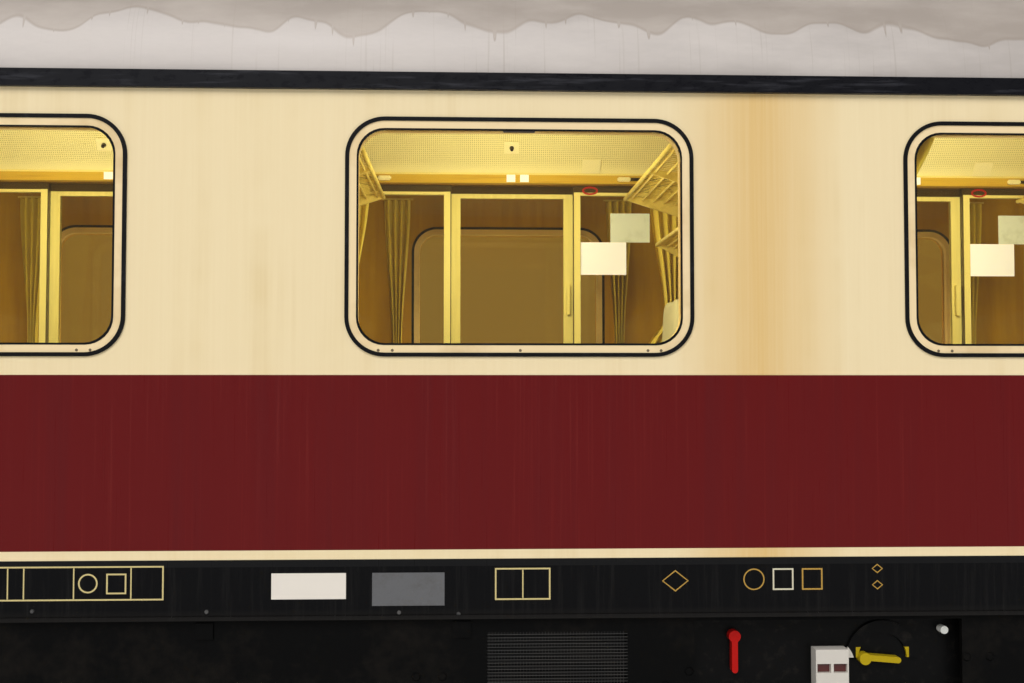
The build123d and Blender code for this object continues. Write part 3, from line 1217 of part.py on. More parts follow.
# Bogies: frame with brake calipers, bolster with its springs, axle boxes with theirs, track brakes
for bogie, pivot_x in BOGIE_XS.items():
    with BuildPart() as bogie_frame:
        with BuildSketch(Plane.XZ.offset(-JOURNAL_Y).shift_origin((pivot_x, JOURNAL_Y, 0))):
            bogie_frame_profile()
        extrude(amount=SIDE_FRAME_WIDTH / 2, both=True)
        fillet(bogie_frame.edges().filter_by(Axis.Y).group_by(Axis.X)[0], SIDE_END_ROUNDING)
        mirror(about=Plane.XZ)
        with Locations(
            *[(pivot_x + side * TRANSOM_X, 0, (SIDE_MID_BOTTOM + TRANSOM_TOP) / 2) for side in (-1, 1)]
        ):
            Box(TRANSOM_WIDTH, 2 * JOURNAL_Y, TRANSOM_TOP - SIDE_MID_BOTTOM)
        for side in (-1, 1):
            for disc_side in (-1, 1):
                with Locations(
                    (
                        pivot_x + side * (TRANSOM_X + CALIPER_MID) / 2,
                        disc_side * DISC_Y,
                        (AXLE_Z - PAD_HEIGHT / 2 + TRANSOM_TOP) / 2,
                    )
                ):
                    Box(
                        CALIPER_MID - TRANSOM_X,
                        2 * (DISC_THICKNESS / 2 + PAD_GAP + PAD_THICKNESS),
                        TRANSOM_TOP - AXLE_Z + PAD_HEIGHT / 2,
                    )
                with Locations(
                    *[
                        (
                            pivot_x + side * (CALIPER_MID + PAD_REACH) / 2,
                            disc_side * DISC_Y
                            + face * (DISC_THICKNESS / 2 + PAD_GAP + PAD_THICKNESS / 2),
                            AXLE_Z,
                        )
                        for face in (-1, 1)
                    ]
                ):
                    Box(PAD_REACH - CALIPER_MID, PAD_THICKNESS, PAD_HEIGHT)
    save(bogie_frame.part, f"bogie_{bogie}_frame")

    with BuildPart() as bolster:
        with BuildSketch(Plane.YZ.offset(pivot_x)):
            with BuildLine():
                Polyline(
                    (-BOLSTER_END_Y, BOLSTER_UPPER),
                    (-BOLSTER_END_Y, BOLSTER_END_BOTTOM),
                    (-BOLSTER_INNER_Y, BOLSTER_END_BOTTOM),
                    (-BOLSTER_INNER_Y, BOLSTER_BOTTOM),
                    (BOLSTER_INNER_Y, BOLSTER_BOTTOM),
                    (BOLSTER_INNER_Y, BOLSTER_END_BOTTOM),
                    (BOLSTER_END_Y, BOLSTER_END_BOTTOM),
                    (BOLSTER_END_Y, BOLSTER_UPPER),
                    close=True,
                )
            make_face()
        extrude(amount=BOLSTER_WIDTH / 2, both=True)
        for side in (-1, 1):
            with Locations(
                (
                    pivot_x,
                    side * (BOLSTER_INNER_Y + BOLSTER_END_Y) / 2,
                    (BOLSTER_END_BOTTOM + BOLSTER_UPPER) / 2,
                )
            ):
                Box(
                    BOLSTER_END_WIDTH,
                    BOLSTER_END_Y - BOLSTER_INNER_Y,
                    BOLSTER_UPPER - BOLSTER_END_BOTTOM,
                )
            with Locations((pivot_x, side * SIDE_BEARER_Y, (BOLSTER_UPPER + BOLSTER_TOP) / 2)):
                Cylinder(SIDE_BEARER_RADIUS, BOLSTER_TOP - BOLSTER_UPPER)
            with Locations(
                *[
                    (pivot_x + end * BOLSTER_SPRING_X, side * JOURNAL_Y, SIDE_MID_TOP)
                    for end in (-1, 1)
                ]
            ):
                add(
                    coil_spring(
                        BOLSTER_SPRING_RADIUS,
                        BOLSTER_END_BOTTOM - SIDE_MID_TOP,
                        BOLSTER_SPRING_TURNS,
                        BOLSTER_SPRING_WIRE,
                    )
                )
        with Locations((pivot_x, 0, (BOLSTER_UPPER + PIVOT_PIN_TOP) / 2)):
            Cylinder(PIVOT_RADIUS, PIVOT_PIN_TOP - BOLSTER_UPPER)
    save(bolster.part, f"bogie_{bogie}_bolster")

    axle_xs = [pivot_x - BOGIE_WHEELBASE / 2, pivot_x + BOGIE_WHEELBASE / 2]
    with BuildPart() as axle_boxes:
        for axle_x in axle_xs:
            with BuildSketch(Plane.XZ.offset(-JOURNAL_Y + BOX_LENGTH / 2)):
                with Locations((axle_x, AXLE_Z)):
                    Circle(BOX_RADIUS)
                with Locations((axle_x, (WING_BOTTOM + WING_TOP) / 2)):
                    Rectangle(2 * (AXLE_SPRING_X + AXLE_SPRING_RADIUS), WING_TOP - WING_BOTTOM)
            extrude(amount=-BOX_LENGTH)
            with BuildSketch(Plane.XZ.offset(-JOURNAL_Y + BOX_LENGTH / 2)):
                with Locations((axle_x, AXLE_Z)):
                    Circle(JOURNAL_RADIUS + BORE_CLEARANCE)
            extrude(amount=JOURNAL_Y - BOX_LENGTH / 2 - JOURNAL_END - MOVING_GAP, mode=Mode.SUBTRACT)
            with Locations(
                *[(axle_x + side * AXLE_SPRING_X, JOURNAL_Y, WING_TOP) for side in (-1, 1)]
            ):
                add(
                    coil_spring(
                        AXLE_SPRING_RADIUS,
                        SIDE_ARM_BOTTOM - WING_TOP - CLEARANCE,
                        AXLE_SPRING_TURNS,
                        AXLE_SPRING_WIRE,
                    )
                )
        mirror(about=Plane.XZ)
    save(axle_boxes.part, f"bogie_{bogie}_axle_boxes")

    with BuildPart() as track_brakes:
        for side in (-1, 1):
            with BuildSketch(Plane.XZ.offset(-side * TREAD_Y).shift_origin((pivot_x, side * TREAD_Y, 0))):
                with Locations((0, SHOE_BOTTOM + SHOE_HEIGHT / 2)):
                    Rectangle(2 * SHOE_HALF_LENGTH, SHOE_HEIGHT)
            extrude(amount=SHOE_WIDTH / 2, both=True)
            with Locations(
                *[
                    (
                        pivot_x + end * TRANSOM_X,
                        side * TREAD_Y,
                        (SHOE_BOTTOM + SHOE_HEIGHT + SIDE_MID_BOTTOM) / 2,
                    )
                    for end in (-1, 1)
                ]
            ):
                Cylinder(SHOE_HANGER_RADIUS, SIDE_MID_BOTTOM - SHOE_BOTTOM - SHOE_HEIGHT)
        chamfer(track_brakes.edges().filter_by(Axis.Y).group_by(Axis.Z)[0], SHOE_HEIGHT / 3)
        with Locations(
            *[
                (pivot_x + end * SHOE_TIE_X, 0, SHOE_BOTTOM + SHOE_HEIGHT * 0.6)
                for end in (-1, 1)
            ]
        ):
            Cylinder(SHOE_HANGER_RADIUS, 2 * TREAD_Y, rotation=(90, 0, 0))
    save(track_brakes.part, f"bogie_{bogie}_track_brakes")

    for number, axle_x in enumerate(axle_xs, start=1):
        with BuildPart() as wheelset:
            with BuildSketch(Plane.XY.offset(AXLE_Z).shift_origin((axle_x, 0, AXLE_Z))):
                with BuildLine():
                    wheel_in = WHEEL_INNER_FACE
                    wheel_out = WHEEL_INNER_FACE + WHEEL_WIDTH
                    flange_out = wheel_in + FLANGE_THICKNESS
                    root = TREAD_RADIUS + (TREAD_Y - flange_out) * TREAD_CONE
                    tip = TREAD_RADIUS + FLANGE_HEIGHT
                    rim_inside = TREAD_RADIUS - RIM_DEPTH
                    web_in = wheel_in + WEB_OUT
                    hub_mid = wheel_in + WHEEL_WIDTH / 2 + WEB_THICKNESS / 2
                    hub_from = hub_mid - HUB_WIDTH / 2
                    hub_to = hub_mid + HUB_WIDTH / 2
                    disc_from = DISC_Y - DISC_THICKNESS / 2
                    disc_to = DISC_Y + DISC_THICKNESS / 2
                    Polyline(
                        (0, 0),
                        (AXLE_RADIUS, 0),
                        (AXLE_RADIUS, disc_from),
                        (DISC_RADIUS, disc_from),
                        (DISC_RADIUS, disc_to),
                        (AXLE_RADIUS, disc_to),
                        (AXLE_RADIUS, hub_from),
                        (HUB_RADIUS, hub_from),
                        (HUB_RADIUS, hub_mid - WEB_THICKNESS / 2),
                        (rim_inside, web_in),
                        (rim_inside, wheel_in),
                        (tip - FLANGE_THICKNESS / 2, wheel_in),
                    )
                    ThreePointArc(
                        (tip - FLANGE_THICKNESS / 2, wheel_in),
                        (tip, wheel_in + FLANGE_THICKNESS / 2),
                        (tip - FLANGE_THICKNESS / 2, flange_out),
                    )
                    Polyline(
                        (tip - FLANGE_THICKNESS / 2, flange_out),
                        (root, flange_out + FLANGE_THICKNESS / 3),
                        (TREAD_RADIUS - (wheel_out - TREAD_Y) * TREAD_CONE, wheel_out),
                        (rim_inside, wheel_out),
                        (rim_inside, web_in + WEB_THICKNESS),
                        (HUB_RADIUS, hub_mid + WEB_THICKNESS / 2),
                        (HUB_RADIUS, hub_to),
                        (JOURNAL_RADIUS, hub_to),
                        (JOURNAL_RADIUS, JOURNAL_END),
                        (0, JOURNAL_END),
                        (0, 0),
                    )
                make_face()
            revolve(axis=Axis((axle_x, 0, AXLE_Z), (0, 1, 0)))
            mirror(about=Plane.XZ)
        save(wheelset.part, f"bogie_{bogie}_wheelset_{number}")


# Entrance doors: at each corner a leaf hinged to the jamb and a second leaf folding against it.
# Sizes are along the doorway's plane from the start of the taper.
HINGE_X = DOOR_JAMB + HINGE_INSET
FOLD_X = DOOR_JAMB + (ENTRANCE_WIDTH - HINGE_EDGE) / 2
FOLD_DEPTH = LEAF_THICKNESS + FOLD_OFFSET
LEAF_BOTTOM = TREAD_TOP + LEAF_GAP
LEAF_TOP = ENTRANCE_TOP - LEAF_GAP
LEAVES = {
    "hinged": (HINGE_X - HINGE_EDGE, FOLD_X - FOLD_GAP / 2),
    "folding": (FOLD_X + FOLD_GAP / 2, DOOR_JAMB + ENTRANCE_WIDTH - LEAF_GAP),
}
KNUCKLE_SPAN = KNUCKLE_LENGTH + CLEARANCE

for leaf, (leaf_from, leaf_to) in LEAVES.items():
    leaf_mid = (leaf_from + leaf_to) / 2
    leaf_width = leaf_to - leaf_from
    step = -1 if leaf == "hinged" else 1
    with BuildPart() as door_leaf:
        with BuildSketch(entrance_plane):
            with Locations((leaf_mid, (LEAF_BOTTOM + LEAF_TOP) / 2)):
                Rectangle(leaf_width, LEAF_TOP - LEAF_BOTTOM)
        extrude(amount=-LEAF_THICKNESS)
        for depth in (0, (LEAF_THICKNESS + LEAF_PANE) / 2):
            with BuildSketch(entrance_plane.offset(-depth)):
                with Locations((leaf_mid, LEAF_WINDOW_BOTTOM + LEAF_WINDOW_HEIGHT / 2)):
                    RectangleRounded(
                        leaf_width - 2 * LEAF_WINDOW_MARGIN, LEAF_WINDOW_HEIGHT, LEAF_WINDOW_CORNER
                    )
            extrude(amount=-(LEAF_THICKNESS - LEAF_PANE) / 2, mode=Mode.SUBTRACT)
        for height in KNUCKLE_HEIGHTS:
            knuckle_z = height + (0 if leaf == "hinged" else KNUCKLE_SPAN)
            with BuildSketch(Plane.XY.offset(knuckle_z)):
                with Locations(entrance_plane.from_local_coords((FOLD_X, 0, -FOLD_DEPTH))):
                    Circle(KNUCKLE_RADIUS)
            extrude(amount=KNUCKLE_LENGTH)
            with BuildSketch(entrance_plane.offset(-LEAF_THICKNESS)):
                with Locations((FOLD_X + step * KNUCKLE_TAB / 2, knuckle_z + KNUCKLE_LENGTH / 2)):
                    Rectangle(KNUCKLE_TAB, KNUCKLE_LENGTH)
            extrude(amount=-(FOLD_OFFSET - 1))
        if leaf == "hinged":
            with BuildSketch(Plane.XY.offset(TREAD_TOP + CLEARANCE)):
                with Locations(entrance_plane.from_local_coords((HINGE_X, 0, -HINGE_DEPTH))):
                    Circle(HINGE_PIN_RADIUS)
            extrude(amount=ENTRANCE_TOP - TREAD_TOP - 2 * CLEARANCE)
        else:
            with BuildSketch(entrance_plane.offset(-LEAF_THICKNESS)):
                with Locations((leaf_to - HANDLE_INSET, HANDLE_Z)):
                    RectangleRounded(HANDLE_WIDTH, HANDLE_LENGTH, HANDLE_WIDTH / 3)
            extrude(amount=-HANDLE_REACH)
            with BuildSketch(entrance_plane):
                with Locations((leaf_to - HANDLE_INSET, HANDLE_Z)):
                    RectangleRounded(HANDLE_WIDTH, HANDLE_LENGTH, HANDLE_WIDTH / 3)
            extrude(amount=HANDLE_REACH)
    for corner, other_side, other_end in CORNERS:
        placed = door_leaf.part
        if other_side:
            placed = placed.mirror(Plane.XZ)
        if other_end:
            placed = placed.mirror(Plane.YZ)
        save(placed, f"entrance_door_{corner}_{leaf}")

# Gangway doors, hanging from the rail inside each end wall
with BuildPart() as gangway_door:
    door_bottom = FLOOR_TOP + MOVING_GAP
    door_top = GANGWAY_TOP + SLIDER_OVERLAP - MOVING_GAP
    door_face = END_INNER_X - MOVING_GAP
    window_z = FLOOR_TOP + GANGWAY_WINDOW_SILL + GANGWAY_WINDOW_HEIGHT / 2
    with BuildSketch(Plane.YZ.offset(door_face)):
        with Locations((0, (door_bottom + door_top) / 2)):
            Rectangle(GANGWAY_DOOR_WIDTH, door_top - door_bottom)
    extrude(amount=-GANGWAY_DOOR_THICKNESS)
    for depth in (0, (GANGWAY_DOOR_THICKNESS + LEAF_PANE) / 2):
        with BuildSketch(Plane.YZ.offset(door_face - depth)):
            with Locations((0, window_z)):
                RectangleRounded(GANGWAY_WINDOW_WIDTH, GANGWAY_WINDOW_HEIGHT, LEAF_WINDOW_CORNER)
        extrude(amount=-(GANGWAY_DOOR_THICKNESS - LEAF_PANE) / 2, mode=Mode.SUBTRACT)
    with Locations(
        *[
            (
                door_face - GANGWAY_DOOR_THICKNESS / 2,
                side * GANGWAY_DOOR_WIDTH / 3,
                door_top + (MOVING_GAP - CLEARANCE) / 2,
            )
            for side in (-1, 1)
        ]
    ):
        Box(GANGWAY_DOOR_THICKNESS / 2, HANGER_WIDTH, MOVING_GAP - CLEARANCE)

save(gangway_door.part, "gangway_door_end_b")
save(gangway_door.part.mirror(Plane.YZ), "gangway_door_end_a")

# Compartment doors, hanging from the rail along the corridor
with BuildPart() as slider:
    slider_width = DOORWAY + 2 * SLIDER_OVERLAP
    slider_bottom = FLOOR_TOP + MOVING_GAP
    slider_face = CORRIDOR_FACE + MOVING_GAP
    with BuildSketch(Plane.XZ.offset(-slider_face)):
        with Locations((0, (slider_bottom + SLIDER_TOP) / 2)):
            Rectangle(slider_width, SLIDER_TOP - slider_bottom)
    extrude(amount=-SLIDER_THICKNESS)
    for depth in (0, (SLIDER_THICKNESS + SLIDER_PANE) / 2):
        with BuildSketch(Plane.XZ.offset(-slider_face - depth)):
            with Locations((0, (slider_bottom + SLIDER_TOP + SLIDER_KICK) / 2)):
                Rectangle(
                    slider_width - 2 * SLIDER_FRAME,
                    SLIDER_TOP - slider_bottom - SLIDER_KICK - 2 * SLIDER_FRAME,
                )
        extrude(amount=-(SLIDER_THICKNESS - SLIDER_PANE) / 2, mode=Mode.SUBTRACT)
    with Locations(
        *[
            (
                side * slider_width / 3,
                slider_face + SLIDER_THICKNESS / 2,
                SLIDER_TOP + (MOVING_GAP - CLEARANCE) / 2,
            )
            for side in (-1, 1)
        ]
    ):
        Box(HANGER_WIDTH, SLIDER_THICKNESS / 2, MOVING_GAP - CLEARANCE)
    with BuildSketch(Plane.XZ.offset(SLIDER_HANDLE_REACH - slider_face)):
        with Locations((slider_width / 2 - SLIDER_FRAME / 2 - SLIDER_HANDLE_INSET, SLIDER_HANDLE_Z)):
            SlotOverall(SLIDER_HANDLE_LENGTH, SLIDER_HANDLE_WIDTH, rotation=90)
    extrude(amount=-SLIDER_THICKNESS - 2 * SLIDER_HANDLE_REACH)

for number, x in enumerate(DOORWAY_XS, start=1):
    save(slider.part.moved(Location((x, 0, 0))), f"compartment_door_{number}")
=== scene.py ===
# %% [markdown]
# # A first-class railway coach
# This lesson dresses the solid model of a side-corridor coach. The solids come in as a fixed frame, in
# metres, with X along the coach, Y across it and Z up, and stay where they are. What follows adds the
# finishes, the soft furnishings and the small fittings that a solid model is too plain for.

# %% Load the frame
import math

import bmesh
import bpy
from mathutils import Matrix, Vector


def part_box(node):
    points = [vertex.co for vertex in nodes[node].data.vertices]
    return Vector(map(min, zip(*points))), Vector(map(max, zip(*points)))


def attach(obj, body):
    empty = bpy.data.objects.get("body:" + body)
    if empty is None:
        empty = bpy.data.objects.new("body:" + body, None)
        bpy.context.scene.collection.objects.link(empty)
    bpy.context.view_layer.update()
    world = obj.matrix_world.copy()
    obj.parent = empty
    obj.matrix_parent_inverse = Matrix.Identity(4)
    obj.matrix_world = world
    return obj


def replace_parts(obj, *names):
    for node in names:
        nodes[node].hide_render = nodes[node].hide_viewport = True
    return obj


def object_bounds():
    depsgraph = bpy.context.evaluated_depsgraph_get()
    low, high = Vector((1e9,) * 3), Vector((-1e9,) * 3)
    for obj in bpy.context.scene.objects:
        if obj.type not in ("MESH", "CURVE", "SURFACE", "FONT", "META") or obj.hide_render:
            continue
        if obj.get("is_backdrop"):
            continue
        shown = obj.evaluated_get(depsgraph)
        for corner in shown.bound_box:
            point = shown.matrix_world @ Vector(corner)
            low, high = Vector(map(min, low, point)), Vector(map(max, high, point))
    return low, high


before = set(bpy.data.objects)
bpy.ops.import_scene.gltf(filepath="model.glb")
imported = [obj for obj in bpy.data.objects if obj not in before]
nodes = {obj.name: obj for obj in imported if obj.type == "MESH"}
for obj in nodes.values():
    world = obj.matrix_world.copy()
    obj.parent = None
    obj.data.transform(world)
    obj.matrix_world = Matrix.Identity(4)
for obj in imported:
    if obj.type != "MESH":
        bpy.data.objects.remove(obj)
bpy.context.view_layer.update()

# %% [markdown]
# ## Camera
# The photograph looks almost squarely at the compartment side from under five metres, turned two
# degrees to the right and two degrees up. The slight fall of the gutter towards the right and the
# spreading of the window sides downwards give those angles. A long lens from further off would flatten
# the view into the compartments, so the camera stands at the real distance.

# %% Camera
IMAGE_WIDTH = 1024
FOCAL_PIXELS = 1166
EYE = Vector((-0.214, -6.077, 1.941))
TURN_RIGHT = 2.22
TILT_UP = 2.16

camera_data = bpy.data.cameras.new("camera")
camera_data.sensor_width = 36
camera_data.lens = FOCAL_PIXELS / IMAGE_WIDTH * camera_data.sensor_width
camera_data.clip_end = 300
camera = bpy.data.objects.new("camera", camera_data)
camera.location = EYE
camera.rotation_euler = (math.radians(90 + TILT_UP), 0, math.radians(-TURN_RIGHT))
bpy.context.scene.collection.objects.link(camera)
bpy.context.scene.camera = camera
bpy.context.scene.view_settings.view_transform = "Standard"
print("lens:", round(camera_data.lens, 1), "mm")

# %% [markdown]
# ## Light and floor
# A coach 26 metres long needs even light along its whole side. Area lamps would fade towards the ends,
# so two very soft suns and a pale world do the work, as a large white studio tent would. The floor is a
# plain pale plane under the wheels.

# %% Light and floor
WORLD_LIGHT = 0.38
BACKDROP_LIGHT = 0.93
FLOOR_SIZE = 160


def sun(name, strength, elevation, azimuth, angle):
    """A soft sun shining from that azimuth, in degrees round from the -Y side."""
    lamp = bpy.data.lights.new(name, "SUN")
    lamp.energy = strength
    lamp.angle = math.radians(angle)
    holder = bpy.data.objects.new(name, lamp)
    holder.rotation_euler = (math.radians(90 - elevation), 0, math.radians(azimuth))
    bpy.context.scene.collection.objects.link(holder)


sun("key_sun", 2.1, 40, -16, 40)
sun("fill_sun", 1.5, 38, 160, 50)

world = bpy.data.worlds.new("pale_tent")
world.use_nodes = True
world_nodes = world.node_tree.nodes
light_path = world_nodes.new("ShaderNodeLightPath")
strength = world_nodes.new("ShaderNodeMapRange")
strength.inputs["To Min"].default_value = WORLD_LIGHT
strength.inputs["To Max"].default_value = BACKDROP_LIGHT
world_links = world.node_tree.links
world_links.new(light_path.outputs["Is Camera Ray"], strength.inputs["Value"])
world_links.new(strength.outputs["Result"], world_nodes["Background"].inputs["Strength"])
world_nodes["Background"].inputs["Color"].default_value = (1, 1, 1, 1)
bpy.context.scene.world = world

floor_mesh = bpy.data.meshes.new("floor")
half_floor = FLOOR_SIZE / 2
floor_corners = [(-1, -1), (1, -1), (1, 1), (-1, 1)]
floor_mesh.from_pydata([(half_floor * x, half_floor * y, 0) for x, y in floor_corners], [], [(0, 1, 2, 3)])
floor = bpy.data.objects.new("floor", floor_mesh)
floor_paint = bpy.data.materials.new("floor_paint")
floor_paint.use_nodes = True
floor_shader = floor_paint.node_tree.nodes["Principled BSDF"]
floor_shader.inputs["Base Color"].default_value = (0.78, 0.78, 0.77, 1)
floor_shader.inputs["Roughness"].default_value = 0.9
floor_mesh.materials.append(floor_paint)
bpy.context.scene.collection.objects.link(floor)
floor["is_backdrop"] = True
print("light: two suns, a world of strength", WORLD_LIGHT, "and a floor of", FLOOR_SIZE, "m")

# %% [markdown]
# ## Finishes from nodes
# Every finish on the coach is a network of nodes on Object coordinates. As each solid stays at the
# origin, Object coordinates are the coach's own metres, so a band of paint can be placed by its height
# over the rails. The class below keeps a material and gives each kind of node a short call.

# %% The finish helper
AXIS_HEIGHT = 2.3


class Finish:
    """A material with short calls that add nodes to it."""

    def __init__(self, name, color, roughness, **sockets):
        self.material = bpy.data.materials.new(name)
        self.material.use_nodes = True
        self.tree = self.material.node_tree
        self.shader = self.tree.nodes["Principled BSDF"]
        self.shader.inputs["Base Color"].default_value = (*color, 1)
        self.shader.inputs["Roughness"].default_value = roughness
        for socket, value in sockets.items():
            self.shader.inputs[socket.replace("_", " ")].default_value = value
        self.place = self.add("ShaderNodeTexCoord").outputs["Object"]
        parts = self.add("ShaderNodeSeparateXYZ")
        self.join(self.place, parts.inputs[0])
        self.x, self.y, self.z = parts.outputs

    def add(self, kind, **settings):
        node = self.tree.nodes.new(kind)
        for setting, value in settings.items():
            setattr(node, setting, value)
        return node

    def join(self, value, socket):
        """Links an output to a socket, or writes a number or colour in it."""
        if isinstance(value, bpy.types.NodeSocket):
            self.tree.links.new(value, socket)
        elif hasattr(value, "__len__") and len(value) == 3 and socket.type == "RGBA":
            socket.default_value = (*value, 1)
        else:
            socket.default_value = value

    def math(self, operation, a, b=0.0, clamp=False):
        node = self.add("ShaderNodeMath", operation=operation, use_clamp=clamp)
        self.join(a, node.inputs[0])
        self.join(b, node.inputs[1])
        return node.outputs[0]

    def between(self, value, low, high, edge=0.0008):
        """1 where value lies between low and high, with an edge that fades over edge metres."""
        above = self.ramp(value, low - edge, low + edge)
        below = self.ramp(value, high + edge, high - edge)
        return self.math("MULTIPLY", above, below)

    def ramp(self, value, low, high, to_low=0.0, to_high=1.0):
        """Stretches value from low..high to to_low..to_high and stops there."""
        node = self.add("ShaderNodeMapRange")
        self.join(value, node.inputs["Value"])
        for socket, number in zip(node.inputs[1:5], (low, high, to_low, to_high)):
            self.join(number, socket)
        return node.outputs["Result"]

    def grain(self, size, detail=4.0, roughness=0.6, shift=(0, 0, 0)):
        """Noise from 0 to 1. size is in metres, or one size for each axis, for streaks."""
        sizes = size if hasattr(size, "__len__") else (size, size, size)
        mapping = self.add("ShaderNodeMapping")
        self.join(self.place, mapping.inputs["Vector"])
        mapping.inputs["Scale"].default_value = [1 / s for s in sizes]
        mapping.inputs["Location"].default_value = shift
        noise = self.add("ShaderNodeTexNoise")
        noise.inputs["Scale"].default_value = 1
        noise.inputs["Detail"].default_value = detail
        noise.inputs["Roughness"].default_value = roughness
        self.join(mapping.outputs[0], noise.inputs["Vector"])
        return noise.outputs["Fac"]

    def mix(self, factor, a, b):
        """Colour a where factor is 0, and b where it is 1."""
        node = self.add("ShaderNodeMix", data_type="RGBA")
        self.join(factor, node.inputs["Factor"])
        self.join(a, node.inputs[6])
        self.join(b, node.inputs[7])
        return node.outputs[2]

    def color(self, value):
        self.join(value, self.shader.inputs["Base Color"])
        return self

    def rough(self, value):
        self.join(value, self.shader.inputs["Roughness"])
        return self

    def bump(self, height, distance):
        """Raises the surface by height, from 0 to 1, times distance in metres."""
        node = self.add("ShaderNodeBump")
        node.inputs["Distance"].default_value = distance
        self.join(height, node.inputs["Height"])
        self.join(node.outputs[0], self.shader.inputs["Normal"])
        return self

    def outside(self):
        """1 on faces that look away from the middle of the coach, and 0 on faces that look in."""
        turned = self.add("ShaderNodeVectorTransform", vector_type="NORMAL", convert_from="WORLD")
        turned.convert_to = "OBJECT"
        self.join(self.add("ShaderNodeNewGeometry").outputs["Normal"], turned.inputs[0])
        from_axis = self.add("ShaderNodeVectorMath", operation="SUBTRACT")
        self.join(self.place, from_axis.inputs[0])
        from_axis.inputs[1].default_value = (0, 0, AXIS_HEIGHT)
        facing = self.add("ShaderNodeVectorMath", operation="DOT_PRODUCT")
        self.join(turned.outputs[0], facing.inputs[0])
        self.join(from_axis.outputs[0], facing.inputs[1])
        return self.ramp(facing.outputs["Value"], 0.35, 0.45)

    def wear(self, clean, worn, size, amount=0.5):
        """Colour clean with patches of worn; amount from 0 to 1 is how much of it is worn."""
        return self.mix(self.ramp(self.grain(size), 0.75 - 0.5 * amount, 0.95 - 0.5 * amount), clean, worn)


finishes = {}


def dress(finish, *names):
    """Puts a finish on CAD nodes."""
    for name in names:
        for material_slot in nodes[name].material_slots:
            material_slot.material = finish.material
        finishes[name] = finish.material.name
    print(finish.material.name, "on", *names)


print("calls of a finish:", *[name for name in vars(Finish) if not name.startswith("_")])

# %% [markdown]
# ## Livery
# The sides are cream above and burgundy below, with a thin cream line over the black sole bar. Years of
# rain and brush washing leave fine vertical streaks in both colours, and a leak in the gutter has washed
# rust down the cream beside the middle window. Painting by height with Object coordinates keeps the
# bands straight over walls and doors alike, which an unwrapped texture would not.

# %% Livery
CREAM = (0.80, 0.655, 0.40)
CREAM_GRIME = (0.62, 0.45, 0.19)
RUST_WASH = (0.68, 0.44, 0.155)
RUST_WASH_MIDDLE = 0.97
RUST_WASH_REACH = 0.36
BURGUNDY = (0.112, 0.004, 0.0045)
BURGUNDY_DUST = (0.18, 0.018, 0.014)
SOOT_BLACK = (0.004, 0.004, 0.0045)
BAND_TOP = 1.983
BAND_BOTTOM = 1.290
STRIPE_BOTTOM = 1.253
LINING = (0.52, 0.31, 0.014)


def livery(name):
    """Cream and burgundy outside, and the cabin's lining inside."""
    paint = Finish(name, CREAM, 0.32, Specular_IOR_Level=0.14)
    streaks = paint.grain((0.012, 0.012, 1.1), detail=5, roughness=0.7)
    runs = paint.grain((0.09, 0.09, 2.4), detail=3, shift=(3, 1, 0))
    clouds = paint.grain((0.7, 0.7, 0.5), detail=3, shift=(7, 0, 2))
    run_cover = paint.ramp(runs, 0.48, 0.72)
    grime = paint.math("MULTIPLY", run_cover, paint.ramp(clouds, 0.42, 0.68), clamp=True)
    cream = paint.mix(paint.math("MULTIPLY", grime, 0.42), CREAM, CREAM_GRIME)
    cream = paint.mix(paint.ramp(streaks, 0.45, 0.8, 0, 0.22), cream, (0.88, 0.76, 0.52))
    from_leak = paint.math("ABSOLUTE", paint.math("SUBTRACT", paint.x, RUST_WASH_MIDDLE))
    wash_streaks = paint.ramp(streaks, 0.3, 0.6, 0.75, 1)
    wash = paint.math("MULTIPLY", paint.ramp(from_leak, RUST_WASH_REACH, 0, 0, 0.9), wash_streaks)
    cream = paint.mix(wash, cream, RUST_WASH)
    burgundy = paint.mix(paint.ramp(streaks, 0.56, 0.82, 0, 0.5), BURGUNDY, BURGUNDY_DUST)
    burgundy = paint.mix(paint.ramp(runs, 0.5, 0.75, 0, 0.35), burgundy, (0.085, 0.006, 0.008))
    banded = paint.mix(paint.between(paint.z, BAND_BOTTOM, BAND_TOP), cream, burgundy)
    banded = paint.mix(paint.ramp(paint.z, STRIPE_BOTTOM + 0.001, STRIPE_BOTTOM), banded, SOOT_BLACK)
    inside = paint.mix(paint.ramp(paint.grain((0.05, 0.05, 0.6)), 0.3, 0.7), LINING, (0.40, 0.22, 0.008))
    paint.color(paint.mix(paint.outside(), inside, banded))
    paint.rough(paint.ramp(streaks, 0.3, 0.8, 0.26, 0.42))
    paint.bump(paint.grain((0.35, 0.35, 0.35), detail=2), 0.0012)
    return paint


body_paint = livery("body_paint")
dress(body_paint, "side_wall_compartments", "side_wall_corridor", "entrance_walls")
print("livery: band from", BAND_BOTTOM, "to", BAND_TOP)

# %% [markdown]
# ## Roof
# The roof is silver-grey paint that soot has stained from the top down. Rain carried the stain to the
# eaves and it dried in scallops with a darker rim, with thin runs below them. The rim is found from the
# height plus noises that change only along the coach, so it wanders up and down as a drip line does.

# %% Roof
SILVER = (0.44, 0.395, 0.365)
SILVER_PALE = (0.53, 0.48, 0.445)
STAIN = (0.33, 0.275, 0.23)
STAIN_RIM = (0.28, 0.23, 0.19)
STAIN_HEIGHT = 3.42

